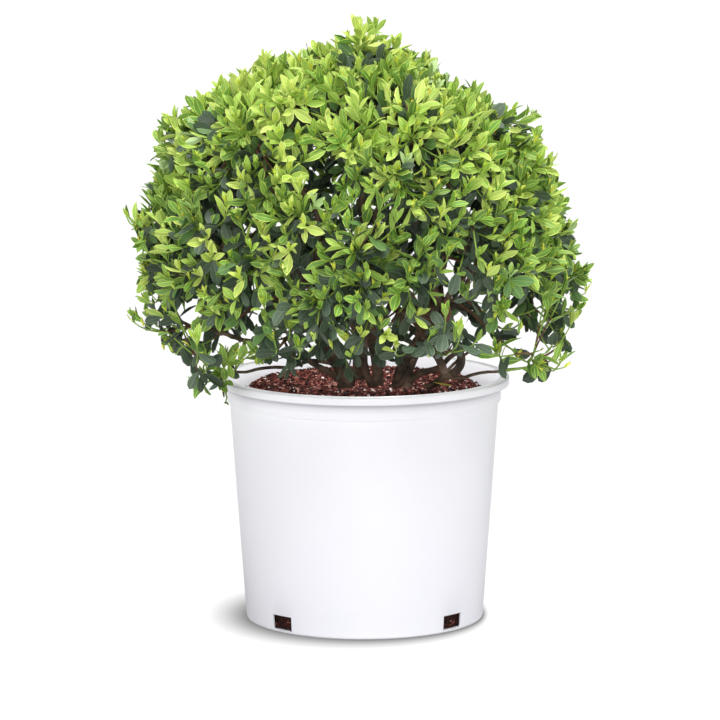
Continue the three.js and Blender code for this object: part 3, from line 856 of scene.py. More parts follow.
for stem in STEMS:
    stem["line"] = stem_line(stem["foot"], stem["tip"])
    stem["masses"] = []
for mass in masses:
    nearest_stem(mass)["masses"].append(mass)
for stem in STEMS:
    own = sorted(stem["masses"], key=lambda mass: mass["end"].z)
    for i, mass in enumerate(own):
        leave = 1 + (LOWEST_LEAVE - 1) * (len(own) - 1 - i) / len(own)
        mass["bough"] = bough_line(mass, stem, leave)
print("boughs per stem", [len(stem["masses"]) for stem in STEMS])

# %% [markdown]
# The bark is thin and grey-brown, with low lengthwise ridges, fine cracks and small knots. A bump alone
# leaves the outline as smooth as a pipe, so the relief is in the mesh: a grid is rolled round each line,
# and every corner moves in or out by ridges that run along the limb and by a finer noise.

# %% Roll bark round a line
LIMB_SIDES = 18
LIMB_RING = 2.2  # spacing of the rings along it
FEWEST_RINGS = 6
LIMB_ASIDE = Vector((0.3, 1, 0.1)).normalized()  # no limb runs along it, so its sides are counted from it
RIDGES = 0.1
CRACKS = 0.4  # the fine cracks' depth as a share of the ridges'
KNOTS = 0.2
KNOTS_FROM = 0.2  # a limb swells where the noise along it is higher than this
WOBBLE = 7  # how crooked the limbs are
WOBBLE_SCALE = 0.03
WOBBLE_APART = 7  # between the noises for the three directions
WOBBLE_ENDS = 4  # a limb is straight at both ends, and this is how soon it becomes crooked
RIDGE_SCALES = (2.6, 0.035)  # of the relief's noises, round the limb and along it
CRACK_SCALES = (5, 0.16)
KNOT_SCALE = 0.045


def ring_of(line, share, seed):
    """The middle of a limb's ring and the way it faces. A limb is a little crooked between its ends."""
    walked = share * line.length * WOBBLE_SCALE
    wander = Vector([noise.noise(Vector((walked, seed, axis * WOBBLE_APART))) for axis in range(3)])
    amount = min(share * WOBBLE_ENDS, (1 - share) * WOBBLE_ENDS, 1)
    return line.at(share) + wander * WOBBLE * amount, line.heading(share)


def bark_noise(turn, walked, scales, seed):
    round_it, along_it = scales
    return noise.noise(
        Vector((math.cos(turn) * round_it, math.sin(turn) * round_it, walked * along_it + seed))
    )


def wrapped_limb(line, radius_at, seed):
    """A grid rolled round a line, with bark relief, closed at both ends."""
    rings_here = max(round(line.length / LIMB_RING), FEWEST_RINGS)
    bm = bmesh.new()
    bmesh.ops.create_grid(bm, x_segments=rings_here, y_segments=LIMB_SIDES, size=1)
    lines = [ring_of(line, i / rings_here, seed) for i in range(rings_here + 1)]
    for vert in bm.verts:
        share = (vert.co.x + 1) / 2
        turn = (vert.co.y + 1) * math.pi
        place, along = lines[round(share * rings_here)]
        side = along.cross(LIMB_ASIDE).normalized()
        out = side * math.cos(turn) + along.cross(side) * math.sin(turn)
        walked = share * line.length
        ridge = bark_noise(turn, walked, RIDGE_SCALES, seed)
        crack = bark_noise(turn, walked, CRACK_SCALES, seed)
        knot = max(noise.noise(Vector((seed, walked * KNOT_SCALE, 0))) - KNOTS_FROM, 0)
        swell = 1 + RIDGES * ridge + CRACKS * RIDGES * crack + KNOTS * knot
        vert.co = (place + out * radius_at(share) * swell) * MM
    bmesh.ops.remove_doubles(bm, verts=bm.verts, dist=MERGE * MM)
    ends = [edge for edge in bm.edges if edge.is_boundary]
    bmesh.ops.holes_fill(bm, edges=ends, sides=0)
    bmesh.ops.recalc_face_normals(bm, faces=bm.faces)
    return arrays_of(bm)


print("rings of", LIMB_SIDES, "corners,", LIMB_RING, "mm apart")

# %% [markdown]
# The solid has one bough to each mass of leaves. The picture shows more wood than that in the gaps, so ten
# further limbs are drawn where it shows them. A stem, its boughs and its further limbs are one piece of
# bark, because on the plant they are grown together.

# %% Wrap every limb in bark
STEM_SEED = 3.1  # steps of the noise's seed, so that no two limbs are alike
BOUGH_SEED = 5.3
LOW_BOUGH_RADII = (2.1, 1.3)  # the two low boughs are thinner
SIDE_LIMBS = {  # further limbs of each stem: four points of each one's curve, and its radii
    "stem_left": [
        ([(-22, -36, 240), (-40, -40, 250), (-54, -44, 262), (-69, -48, 282)], (3.6, 2.3)),
        ([(-56, -42, 262), (-82, -46, 272), (-119, -42, 275), (-150, -40, 292)], (2.8, 1.7)),
        ([(-26, -32, 250), (-36, -34, 268), (-46, -36, 280), (-60, -40, 294)], (3, 2)),
    ],
    "stem_middle": [
        ([(8, -32, 234), (-2, -36, 248), (-9, -36, 262), (-8, -30, 284)], (3.8, 2.6)),
        ([(24, -36, 232), (32, -38, 240), (38, -38, 248), (48, -38, 262)], (2.7, 1.9)),
    ],
    "stem_right": [
        ([(62, -10, 276), (84, -22, 312), (98, -30, 344), (113, -34, 398)], (4, 2)),
        ([(80, -20, 304), (92, -26, 322), (104, -24, 336), (124, -26, 372)], (2.8, 1.7)),
        ([(66, -8, 286), (74, 4, 306), (80, 12, 330), (82, 20, 372)], (3.3, 1.9)),
        ([(44, -30, 238), (60, -34, 252), (80, -38, 257), (104, -42, 276)], (3.6, 2)),
        ([(60, -46, 234), (74, -50, 246), (92, -54, 262), (114, -56, 278)], (1.9, 1.2)),
    ],
}


def tapered(first, last):
    """A radius that goes evenly from the first to the last along a limb or twig."""
    return lambda share: first + (last - first) * share


def stem_radius(radii):
    even = tapered(*radii)
    return lambda share: even(share) * (1 + (FLARE - 1) * math.exp(-share * FLARE_FADES))


def side_limb(points, radii):
    """A further limb, tapered from its first radius to its second."""
    return wrapped_limb(Line(*[Vector(point) for point in points]), tapered(*radii), radii[0])


bark_material = new_material("grey_brown_bark", "56443a", roughness=0.85, specular=0.25)
bark_grain = add_grain(bark_material, fine_scale=700, broad_scale=70)
ramp_colour(
    bark_material, bark_grain.outputs["Broad"],
    [(0.28, "2d281f"), (0.45, "51453a"), (0.6, "72604f"), (0.78, "9a8a78")],
)
add_bump(bark_material, bark_grain.outputs["Fine"], strength=0.7, distance=0.5 * MM)
for number, stem in enumerate(STEMS):
    limbs = [wrapped_limb(stem["line"], stem_radius(stem["radii"]), number * STEM_SEED)]
    for i, mass in enumerate(stem["masses"]):
        radii = LOW_BOUGH_RADII if mass["over_rim"] else BOUGH_RADII
        limbs.append(wrapped_limb(mass["bough"], tapered(*radii), number * BOUGH_SEED + i))
    limbs += [side_limb(*limb) for limb in SIDE_LIMBS.get(stem["name"], [])]
    bark = mesh_from_arrays(stem["name"].replace("stem", "bark"), *stacked(limbs), [bark_material])
    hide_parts(stem["name"], *[f"bough_{mass['name']}" for mass in stem["masses"]])
    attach(bark, "root")
    print(bark.name, "limbs", len(limbs), "triangles", len(bark.data.polygons))

# %% [markdown]
# ## Twigs
# From each bough a leader runs on to the crown's skin, and side twigs leave it at a slant for the mass's
# own tips, as in the solid. Here each of those twigs carries finer shoots. Tips at random places would
# leave bald spots, so they are spread over the dome by the golden-angle spiral, with dark ones further in
# where the crown is dense. Dents of the outline and small hollows between the tufts break the dome up.

# %% Spread tips over the dome
SHOOTS = 94  # places of main tips on the spiral, as in the solid
SHOOT_VARIES = 0.05
FINE_SHOOTS = 1750
FINE_SKIN = 0.97  # their tips lie this far out
FINE_VARIES = 0.06
INNER_SHOOTS = 410
INNER_SKIN = 0.78  # and theirs this far
INNER_VARIES = 0.06
INNER_FROM = 345  # the dark inner shoots are above this height, where the crown is dense
BUMPS = 0.04
BUMP_SCALE = 2.4
HOLLOW_SCALE = 5.5  # small hollows between the tufts, where most of the shoots are left out
HOLLOW_FROM = 0.2  # where the noise is higher than this
HOLLOW_SHARE = 0.6
DENTS = [  # hollows and swellings of the crown's outline: azimuth, elevation, depth and width in degrees
    (0, 51, -0.13, 13), (0, 38, 0.05, 8), (0, 12, -0.035, 12), (180, 40, 0.03, 10), (180, 68, -0.04, 14),
]
EDGE_LEVEL = 270  # the lower edge of the shoots in the middle of the crown
FRONT_RISE = 0.14  # the crown's lower edge rises this much for each millimetre towards the front
GOLDEN = math.radians(137.508)
chance = random.Random(11)


def spiral_direction(i, count):
    height = 1 - 2 * (i + 0.5) / count
    around = math.sqrt(1 - height * height)
    return Vector((math.cos(i * GOLDEN) * around, math.sin(i * GOLDEN) * around, height))


def relief(way):
    """How much further out the crown's skin lies in a direction."""
    total = BUMPS * noise.noise(way * BUMP_SCALE)
    for azimuth, elevation, amount, width in DENTS:
        turn = math.degrees(way.angle(facing(azimuth, elevation)))
        total += amount * math.exp(-(turn / width) ** 2)
    return total


def edge_level(point):
    """The crown's lower edge, which is higher at the front."""
    return EDGE_LEVEL + FRONT_RISE * max(-point.y, 0)


def in_hollow(way):
    return noise.noise(way * HOLLOW_SCALE) > HOLLOW_FROM and chance.random() < HOLLOW_SHARE


def dome_tips(count, skin, varies):
    tips = []
    for i in range(count):
        way = spiral_direction(i, count)
        tip = crown_point(way, skin + varies * chance.uniform(-1, 1) + relief(way))
        if tip.z > edge_level(tip) and not in_hollow(way):
            tips.append(tip)
    return tips


main_tips = dome_tips(SHOOTS, FINE_SKIN, SHOOT_VARIES)
fine_tips = dome_tips(FINE_SHOOTS, FINE_SKIN, FINE_VARIES)
inner_tips = [tip for tip in dome_tips(INNER_SHOOTS, INNER_SKIN, INNER_VARIES) if tip.z > INNER_FROM]
print("main tips", len(main_tips), "fine tips", len(fine_tips), "inner tips", len(inner_tips))

# %% [markdown]
# A dome is too round and too full. The real crown has an uneven, feathery outline, openings low down in
# which its limbs show, and small gaps right through it. They are written down as the front shows them, in
# millimetres, and a short test for each kind leaves out the tips and leaves that would cover them.

# %% Test places against the outline and the gaps
TOP_LEAN = 12  # the crown's top stands this far to the left
LEAN_FROM = 430  # the lean begins at this height and is complete this much higher
LEAN_OVER = 150
SIGHT_SLOPE = 0.12  # a line of sight from the front rises this much for each millimetre to the front
OPENINGS = [  # places where the limbs and the white behind them show: x, z, half width and height, share
    (99, 326, 32, 58, 0.42), (-110, 300, 24, 24, 0.25), (26, 300, 18, 16, 0.45), (-70, 262, 34, 20, 0.5),
    (110, 262, 34, 20, 0.65), (-170, 330, 20, 30, 0.35), (156, 330, 18, 30, 0.55), (0, 268, 60, 14, 0.5),
    (172, 278, 22, 26, 0.65), (142, 292, 20, 22, 0.45),
]
SKY_HOLES = [  # small gaps right through the crown: x, z, and half their width
    (-113, 382, 6), (-136, 374, 5), (-106, 334, 6), (-142, 328, 5), (-176, 339, 5), (-166, 302, 6),
    (-105, 300, 6), (-184, 386, 3), (-48, 398, 5), (62, 456, 5), (104, 404, 7), (86, 352, 5), (112, 318, 5),
    (100, 288, 6), (140, 356, 3), (158, 322, 4), (46, 324, 6), (-4, 332, 4), (-42, 300, 4), (-118, 276, 4),
    (-42, 266, 9), (-28, 262, 7), (7, 278, 7), (46, 283, 7), (-86, 446, 5), (44, 370, 5), (176, 300, 6),
    (-204, 318, 4), (-76, 276, 6), (80, 268, 8), (167, 272, 9), (142, 289, 6), (181, 264, 5),
    (201, 316, 5), (128, 252, 3), (168, 310, 4), (181, 306, 3), (-191, 289, 6), (-202, 308, 6),
    (192, 372, 5), (-207, 368, 4), (92, 457, 5), (-180, 305, 5), (-171, 281, 6), (144, 484, 4),
]
OUTLINE = [  # the crown's outline from the front: a height, and how far it reaches to the left and right
    (234, -164, 168), (250, -168, 188), (264, -194, 210), (280, -198, 203), (294, -222, 202),
    (309, -234, 214), (338, -219, 226), (354, -222, 220), (384, -222, 200), (398, -225, 208),
    (414, -238, 197), (440, -204, 194), (458, -209, 188), (472, -194, 172), (488, -203, 178),
    (502, -194, 168), (517, -176, 126), (532, -142, 110), (547, -120, 78), (561, -101, 67),
    (576, -26, 34), (592, -10, 14),
]
OUTLINE_SLACK = 5  # a leaf may stick out of it this far
CORNER_BELOW = 316  # the crown is thin below this height
CORNER_BEYOND = 120  # and further from the middle than this
CORNER_SHARE = 0.5


def leaned(tip):
    """The upper crown leans a little to the left."""
    return Vector((tip.x - TOP_LEAN * min(max((tip.z - LEAN_FROM) / LEAN_OVER, 0), 1), tip.y, tip.z))


def seen_height(point):
    """The height at which the front shows a point, in the middle plane."""
    return point.z + SIGHT_SLOPE * point.y


def outline_at(height):
    heights, lefts, rights = zip(*OUTLINE)
    return np.interp(height, heights, lefts), np.interp(height, heights, rights)


def shown_through(point):
    """Whether a tip or leaf is left out where the crown is open."""
    seen = seen_height(point)
    for x, z, width, height, share in OPENINGS:
        if ((point.x - x) / width) ** 2 + ((seen - z) / height) ** 2 < 1:
            return chance.random() < share
    return False


def past_outline(point):
    """Whether a leaf's point sticks out of the outline as the front shows it."""
    left, right = outline_at(seen_height(point))
    return not left - OUTLINE_SLACK < point.x < right + OUTLINE_SLACK


def in_thin_corner(point):
    """Whether a shoot is left out in the thin lower corners at the left and right."""
    low = seen_height(point) < CORNER_BELOW and abs(point.x) > CORNER_BEYOND
    return low and chance.random() < CORNER_SHARE


def in_sky_hole(point):
    seen = seen_height(point)
    return any(math.hypot(point.x - x, seen - z) < size for x, z, size in SKY_HOLES)


print("openings", len(OPENINGS), "small gaps", len(SKY_HOLES), "heights of the outline", len(OUTLINE))

# %% [markdown]
# A tip belongs to the mass whose centre is nearest to it. The spiral can't put a tip just where the picture
# shows one, so the outline, the mix's edge and the two low boughs get some of their own.

# %% Give each mass its tips
SPRIGS = [  # further tips of main twigs
    (-4, -22, 592), (-44, 14, 570), (-238, -10, 306), (-236, -40, 412), (224, -18, 352),
    (-140, -100, 230), (-166, -78, 248), (204, -78, 268),
]
OUTLINE_SPRAYS = 2  # shoots on the outline at each of its heights and on each side
OUTLINE_IN = (1, 8)  # they end this far inside it
OUTLINE_UP = 5  # up to this far above and below the height
OUTLINE_DEEP = 24  # and up to this far before and behind the middle
HANGING = [  # tips of shoots that hang over the mix and the rim, with the way each one points
    ((-95, -62, 256), (-0.1, -0.2, -1)), ((-72, -88, 244), (0, -0.2, -1)),
    ((-62, -84, 254), (0.3, -0.1, -1)), ((-16, -98, 244), (0, -0.3, -1)),
    ((-4, -92, 258), (0.3, -0.2, -0.9)), ((-26, -90, 256), (-0.3, -0.1, -1)),
    ((20, -96, 258), (0.2, -0.2, -1)), ((40, -86, 260), (0.4, -0.1, -0.9)),
    ((-46, -92, 264), (-0.2, -0.2, -1)), ((74, -84, 266), (0.2, -0.2, -1)),
    ((90, -84, 266), (0.1, -0.2, -1)), ((104, -78, 272), (0.4, -0.1, -0.9)),
]
LOW_TIPS = {  # the shoots of the two low boughs, which run out over the rim
    "low_left": [
        ((-134, -98, 238), (-0.1, -0.2, -1)), ((-140, -88, 246), (-0.1, -0.1, -1)),
        ((-128, -92, 254), (0.2, -0.2, -0.9)), ((-150, -78, 262), (-0.5, -0.1, 0.2)),
        ((-160, -76, 274), (-0.6, -0.2, 0.6)), ((-176, -70, 286), (-0.7, 0, 0.6)),
        ((-118, -70, 264), (-0.2, -0.2, -0.6)), ((-104, -74, 260), (0, -0.3, -0.9)),
        ((-136, -60, 278), (-0.3, 0, 0.9)),
    ],
    "low_right": [
        ((132, -62, 280), (0.1, 0, 1)), ((150, -70, 272), (0.4, -0.2, 0.9)),
        ((168, -76, 262), (0.9, -0.1, 0.4)), ((184, -80, 284), (0.6, 0, 0.8)),
        ((192, -80, 268), (0.9, 0, 0.3)), ((170, -86, 258), (0.6, -0.1, -0.4)),
    ],
}


def outline_tips():
    """Shoots that end on the outline itself, so that it is feathery where the photograph's is."""
    tips = []
    for height, left, right in OUTLINE:
        for _ in range(OUTLINE_SPRAYS):
            for x in (left + chance.uniform(*OUTLINE_IN), right - chance.uniform(*OUTLINE_IN)):
                deep = OUTLINE_DEEP * chance.uniform(-1, 1)
                tips.append(Vector((x, deep, height + chance.uniform(-OUTLINE_UP, OUTLINE_UP))))
    return tips


def nearest_mass(tip):
    away = [(mass["centre"] - tip).length for mass in masses]
    return masses[away.index(min(away))]


for mass in masses:
    mass["tips"], mass["fine"], mass["inner"], mass["hanging"] = [], [], [], []
for place in SPRIGS:
    nearest_mass(Vector(place))["tips"].append(Vector(place))
for tip in main_tips:
    if not past_outline(leaned(tip)):
        nearest_mass(tip)["tips"].append(leaned(tip))
for kind, tips in (("fine", fine_tips), ("inner", inner_tips)):
    for tip in tips:
        if not shown_through(tip) and not past_outline(leaned(tip)) and not in_thin_corner(tip):
            nearest_mass(tip)[kind].append(leaned(tip))
for tip in outline_tips():
    nearest_mass(tip)["fine"].append(tip)
for place, way in HANGING:
    nearest_mass(Vector(place))["hanging"].append((Vector(place), Vector(way)))
for mass in masses:
    mass["low"] = [(Vector(place), Vector(way)) for place, way in LOW_TIPS.get(mass["name"], [])]
print("tips on main twigs", sum(len(mass["tips"]) for mass in masses))

# %% [markdown]
# A twig sets out at a slant, partly in the direction of the limb that it leaves, and turns up to the light
# at its end. A straight tube would look like wire, and one cubic curve with both directions given does it.

# %% Grow the main twigs
LEAF = 22  # length of a full-grown leaf
KNEE = 8  # the leader's side twigs begin this far past the bough's end
SLANT = 0.9  # a twig leaves this much earlier for each millimetre that its tip lies aside
LEAVE_MOST = 0.6
TWIG_SHORTEST = 16
LEADER_RADIUS = 2.4
SIDE_RADIUS = 1.7
PAST_END = 0.7  # a shoot's last leaves reach past its end by this share of their length
PAST_MOST = 0.4  # but by no more than this share of the shoot's reach
END_OUT = 0.4  # a shoot's end points this much outwards and this much upwards
END_UP = 0.85
END_VARIES = 0.26
LEADER_FROM = 0.97  # the share of its bough at which a leader begins
TWIG_FOLLOWS = 0.45  # how much a twig keeps the direction of the one that it leaves
TWIG_START = 0.35  # how far its first and last direction carry, as shares of its span
TWIG_END = 0.38
TURNS_UP = 0.5  # how much a main twig's end turns up, as a share of how a shoot's does


def jittered(vector, amount):
    return vector + Vector([chance.uniform(-amount, amount) for _ in range(3)])


def end_heading(tip):
    """A shoot's end turns up: straight up on top, and out and up at the sides."""
    out = (tip - CROWN).normalized()
    return jittered(out * END_OUT + UP * END_UP, END_VARIES).normalized()


def slanted_leave(start, way, length, tip, most):
    """How far along a twig a side twig leaves it for its tip."""
    offset = tip - start
    forward = offset.dot(way)
    aside = math.sqrt(max(offset.length_squared - forward * forward, 0))
    return min(max(forward - aside * SLANT, 0), length * most)


def grow_main(mass):
    """The leader and side twigs: where each starts, how it leaves, where it ends, and its radius."""
    heading = mass["bough"].heading(1)
    knee = mass["bough"].at(1) + heading * (GAP + KNEE)
    leader_tip = crown_point(mass["centre"] - CROWN, 1)
    if not mass["over_rim"]:
        leader_tip.z = max(leader_tip.z, edge_level(leader_tip))
    way = (leader_tip - knee).normalized()
    length = (leader_tip - knee).length
    twigs = [(mass["bough"].at(LEADER_FROM), heading, leader_tip, LEADER_RADIUS)]
    for tip in mass["tips"]:
        leave = slanted_leave(knee, way, length, tip, LEAVE_MOST)
        twigs.append((knee + way * leave, way, tip, SIDE_RADIUS))
    return twigs


def twig_line(start, leaving, tip, ending):
    """A twig's curve, which stops short of its tip's place, where its last leaves end."""
    reach = (tip - start).length
    end = tip - ending * min(LEAF * PAST_END, reach * PAST_MOST)
    span = max((end - start).length, TWIG_SHORTEST)
    way = (end - start).normalized()
    first = way.lerp(leaving, TWIG_FOLLOWS).normalized()
    return Line(start, start + first * span * TWIG_START, end - ending * span * TWIG_END, end)


for mass in masses:
    mass["mains"] = []
    for start, leaving, tip, radius in grow_main(mass):
        ending = (tip - start).normalized().lerp(end_heading(tip), TURNS_UP).normalized()
        line = twig_line(start, leaving, tip, ending)
        line.radius = radius
        mass["mains"].append(line)
print("main twigs", sum(len(mass["mains"]) for mass in masses))

# %% Grow the fine shoots
FINE_LEAVE_MOST = 0.86
SHOOT_RADIUS = 1.2


def nearest_twig(tip, mains):
    """The main twig and the share along it from which a fine shoot reaches its tip soonest."""
    best = None
    for line in mains:
        start, end = line.at(0), line.at(1)
        way = (end - start).normalized()
        leave = slanted_leave(start, way, line.length, tip, FINE_LEAVE_MOST)
        share = leave / line.length
        away = (line.at(share) - tip).length
        if best is None or away < best[0]:
            best = (away, line, share)
    return best[1], best[2]


def grow_shoot(mass, tip, ending):
    main, share = nearest_twig(tip, mass["mains"])
    line = twig_line(main.at(share), main.heading(share), tip, ending)
    line.radius = SHOOT_RADIUS
    return line


for mass in masses:
    mass["shoots"] = [grow_shoot(mass, tip, end_heading(tip)) for tip in mass["fine"]]
    mass["shoots"] += [grow_shoot(mass, tip, way.normalized()) for tip, way in mass["low"]]
    mass["dark"] = [grow_shoot(mass, tip, end_heading(tip)) for tip in mass["inner"]]
    mass["hung"] = [grow_shoot(mass, tip, way.normalized()) for tip, way in mass["hanging"]]
print("shoots", sum(len(mass["shoots"]) for mass in masses))

# %% [markdown]
# ## Leaves
# Inkberry leaves are small and leathery, widest past the middle, with a short stalk and a blunt point.
# Young ones are bright yellow-green with a paler edge and midrib, stand up round the shoot's end and fold a
# little along the midrib. Old ones are dark grey-green, glossier and flatter, and hang. A card with a
# picture would be quick but has no edge of its own, so each leaf is a small grid drawn in to its outline,
# with the midrib and the edge as narrow strips that carry their own plain colour.

# %% Shape the leaf templates
LEAF_ROWS = [0, 0.14, 0.38, 0.64, 0.87, 1]
YOUNG_WIDTHS = [0.018, 0.064, 0.164, 0.188, 0.104, 0]  # half the width at each row, for a length of 1
OLD_WIDTHS = [0.02, 0.085, 0.195, 0.24, 0.17, 0]
RIB = 0.011
EDGE = 0.15
# how much each shape of leaf is folded, bent back and twisted
YOUNG_POSES = [(0.35, 0.1, 0), (0.6, 0.02, 0.25), (0.25, 0.24, -0.25), (0.45, -0.1, 0.1)]
OLD_POSES = [(-0.25, 0.12, 0), (0.2, 0.24, 0.3), (-0.1, 0.02, -0.3), (0.35, -0.08, 0.2)]
LEAFLET_WIDTHS = [0.03, 0.15, 0.14, 0]
LEAFLET_FOLD = 0.8
LEAF_MERGE = 0.004


def leaf_template(widths, fold, bend, twist):
    """A leaf along +Y with its upper face to +Z: slot 0 is the blade, slot 1 the midrib and the edge."""
    columns = [-1, EDGE - 1, -RIB, RIB, 1 - EDGE, 1]
    bm = bmesh.new()
    bmesh.ops.create_grid(bm, x_segments=len(columns) - 1, y_segments=len(LEAF_ROWS) - 1, size=1)
    for face in bm.faces:
        strip = round((face.calc_center_median().x + 1) / 2 * (len(columns) - 1) - 0.5)
        face.material_index = 0 if strip in (1, 3) else 1
    for vert in bm.verts:
        row = round((vert.co.y + 1) / 2 * (len(LEAF_ROWS) - 1))
        column = columns[round((vert.co.x + 1) / 2 * (len(columns) - 1))]
        along, width = LEAF_ROWS[row], widths[row]
        across = column if abs(column) == RIB else column * width
        across = math.copysign(min(abs(across), width), across)
        lift = fold * abs(across) - bend * along ** 2 + twist * across * along
        vert.co = (across, along, lift)
    bmesh.ops.remove_doubles(bm, verts=bm.verts, dist=LEAF_MERGE)
    return arrays_of(bm)


def leaflet_template():
    """A tiny unopened leaf at a shoot's tip."""
    bm = bmesh.new()
    rows = len(LEAFLET_WIDTHS) - 1
    bmesh.ops.create_grid(bm, x_segments=2, y_segments=rows, size=1)
    for vert in bm.verts:
        row = round((vert.co.y + 1) / 2 * rows)
        across = vert.co.x * LEAFLET_WIDTHS[row]
        vert.co = (across, row / rows, LEAFLET_FOLD * abs(across))
    bmesh.ops.remove_doubles(bm, verts=bm.verts, dist=LEAF_MERGE)
    return arrays_of(bm)


YOUNG_SHAPES = [leaf_template(YOUNG_WIDTHS, *pose) for pose in YOUNG_POSES]
OLD_SHAPES = [leaf_template(OLD_WIDTHS, *pose) for pose in OLD_POSES]
LEAFLET_SHAPES = [leaflet_template()]
print("triangles in a young leaf", len(YOUNG_SHAPES[0][1]), "and in an old one", len(OLD_SHAPES[0][1]))

# %% [markdown]
# The leaves could be dealt out first and the wrong ones deleted by hand, but then any change would undo the
# work. So each leaf is tested as it is placed: it has to be off the pot, above the crown's lower edge,
# inside the outline and out of the small gaps.

# %% Keep a leaf or leave it out
EDGE_LEAVES = 12  # leaves hang this far below the lower edge of the shoots
LEAF_REACH = 1.17  # no leaf is further out than this, as a share of the dome
LEAF_PROBES = (0.25, 0.6, 0.95)  # a leaf has none of these shares of its length in a small gap
WIDTH_VARIES = (0.82, 1.12)
chance = random.Random(23)
leaves = {"young": [], "old": [], "leaflet": []}


def clear_of_pot(point, margin):
    return point.z > POT_HEIGHT + margin or math.hypot(point.x, point.y) > LIP_RADIUS + margin


def lowest_leaf(mass, point):
    """The lowest level of a mass's leaves at a place."""
    return LOWEST_LEAVES.get(mass["name"], edge_level(point) - EDGE_LEAVES)


def add_leaf(kind, mass, root, along, face, length, tint, hung=False):
    """Keeps a leaf, and says so, if it is high enough, off the pot, out of the gaps and in the outline."""
    along = along.normalized()
    face = (face - along * face.dot(along)).normalized()
    tip = root + along * length
    lowest = GROUND + HEAP if hung else lowest_leaf(mass, tip)
    if min(tip.z, root.z) < lowest or depth(tip) > LEAF_REACH:
        return False
    if not clear_of_pot(tip, 0 if hung else 1) or not clear_of_pot(root, 1):
        return False
    if not hung and any(in_sky_hole(root.lerp(tip, share)) for share in LEAF_PROBES):
        return False
    if past_outline(tip) or past_outline(root):
        return False
    side = along.cross(face)
    wide = length * chance.uniform(*WIDTH_VARIES)
    basis = np.array([side * wide, along * length, face * length]).T
    leaves[kind].append((mass["name"], basis, np.array(root), tint))
    return True


print("kinds of leaves", list(leaves))

# %% [markdown]
# Inkberry's leaves stand singly, each a turn further round the shoot than the last. At the shoot's end they
# are small, young and steep, and further back they are full-grown, older and lie flatter or hang. So one
# list of places, counted back from the end, serves for every shoot.

# %% Set leaves along a shoot
LEAF_SPOTS = [  # distance before the shoot's end, length and lean from the shoot, from the end down
    (0.5, 10, 12), (2, 14, 20), (4.2, 17.5, 28), (7, 20, 35), (10.5, 21.5, 42), (14.5, 22, 48),
    (19, 22, 53), (24, 22, 58), (29.5, 22, 63), (35.5, 22, 68), (42, 22, 73), (50, 23, 78),
    (60, 23, 84),
]
HUNG_LEAVES = 8  # leaves on a hanging shoot
ROLL = 0.7  # an old leaf turns this far about its own length, in radians
SIZE_VARIES = 0.2
TILT_VARIES = 9  # degrees
OLD_FROM = 13  # old leaves are this long or longer
YOUNG_CLOSES = 0.84  # young leaves stand this much closer to their shoot
HUNG_CLOSES = 0.8  # and those on hanging shoots this much
LEAFLETS = 5
LEAFLET_LENGTH = (5, 10)
LEAFLET_TILT = (5, 26)
LEAFLET_TINTS = ["dcea5c", "e4e45a", "cfe364"]
DROOP = 0.6  # how far old leaves hang
DROOP_LOW = 1.25  # that is times this low in the crown, and less by 1 at its top
FACE_UP = 0.25  # how far they turn their faces up
MAIN_LEAF_STEP = 15
MAIN_LEAF_FROM = 0.25  # the leaves on a main twig begin at this share of it
MAIN_LEAF_STOP = 46  # and stop this far before its end
MAIN_LEAF_LENGTH = (19, 27)
MAIN_LEAF_TILT = (65, 95)
TOP_FROM = 270  # the crown changes from low to high from this height
TOP_OVER = 260  # and over this much
OLD_ON_LOW = 0.45  # the share of their old leaves that the two low boughs keep


def leaf_directions(shoot, turn, tilt):
    """The directions in which a leaf lies along its blade and faces, at a turn round its shoot."""
    level = Vector((-shoot.y, shoot.x, 0))
    across = level.normalized() if level.length > 0.1 else Vector((1, 0, 0))
    outward = Matrix.Rotation(turn, 3, shoot) @ across
    lean = math.radians(tilt)
    along = shoot * math.cos(lean) + outward * math.sin(lean)
    face = shoot * math.sin(lean) - outward * math.cos(lean)
    return along, face


def height_share(point):
    return min(max((point.z - TOP_FROM) / TOP_OVER, 0), 1)


def rolled(face, along, most):
    return Matrix.Rotation(chance.uniform(-most, most), 3, along) @ face


def old_share(mass):
    return OLD_ON_LOW if mass["over_rim"] else 1


def dress_hung(mass, line, old_tint):
    """Old leaves in a loose whorl at the end of a hanging shoot."""
    turn = chance.uniform(0, 2 * math.pi)
    for i, (before, length, tilt) in enumerate(LEAF_SPOTS[1:HUNG_LEAVES + 1]):
        root = line.at(max(1 - before / line.length, 0))
        tilt = tilt * HUNG_CLOSES + chance.uniform(-TILT_VARIES, TILT_VARIES)
        along, face = leaf_directions(line.heading(1), turn + i * GOLDEN, tilt)
        add_leaf("old", mass, root, along, rolled(face, along, ROLL), max(length, OLD_FROM), old_tint, True)


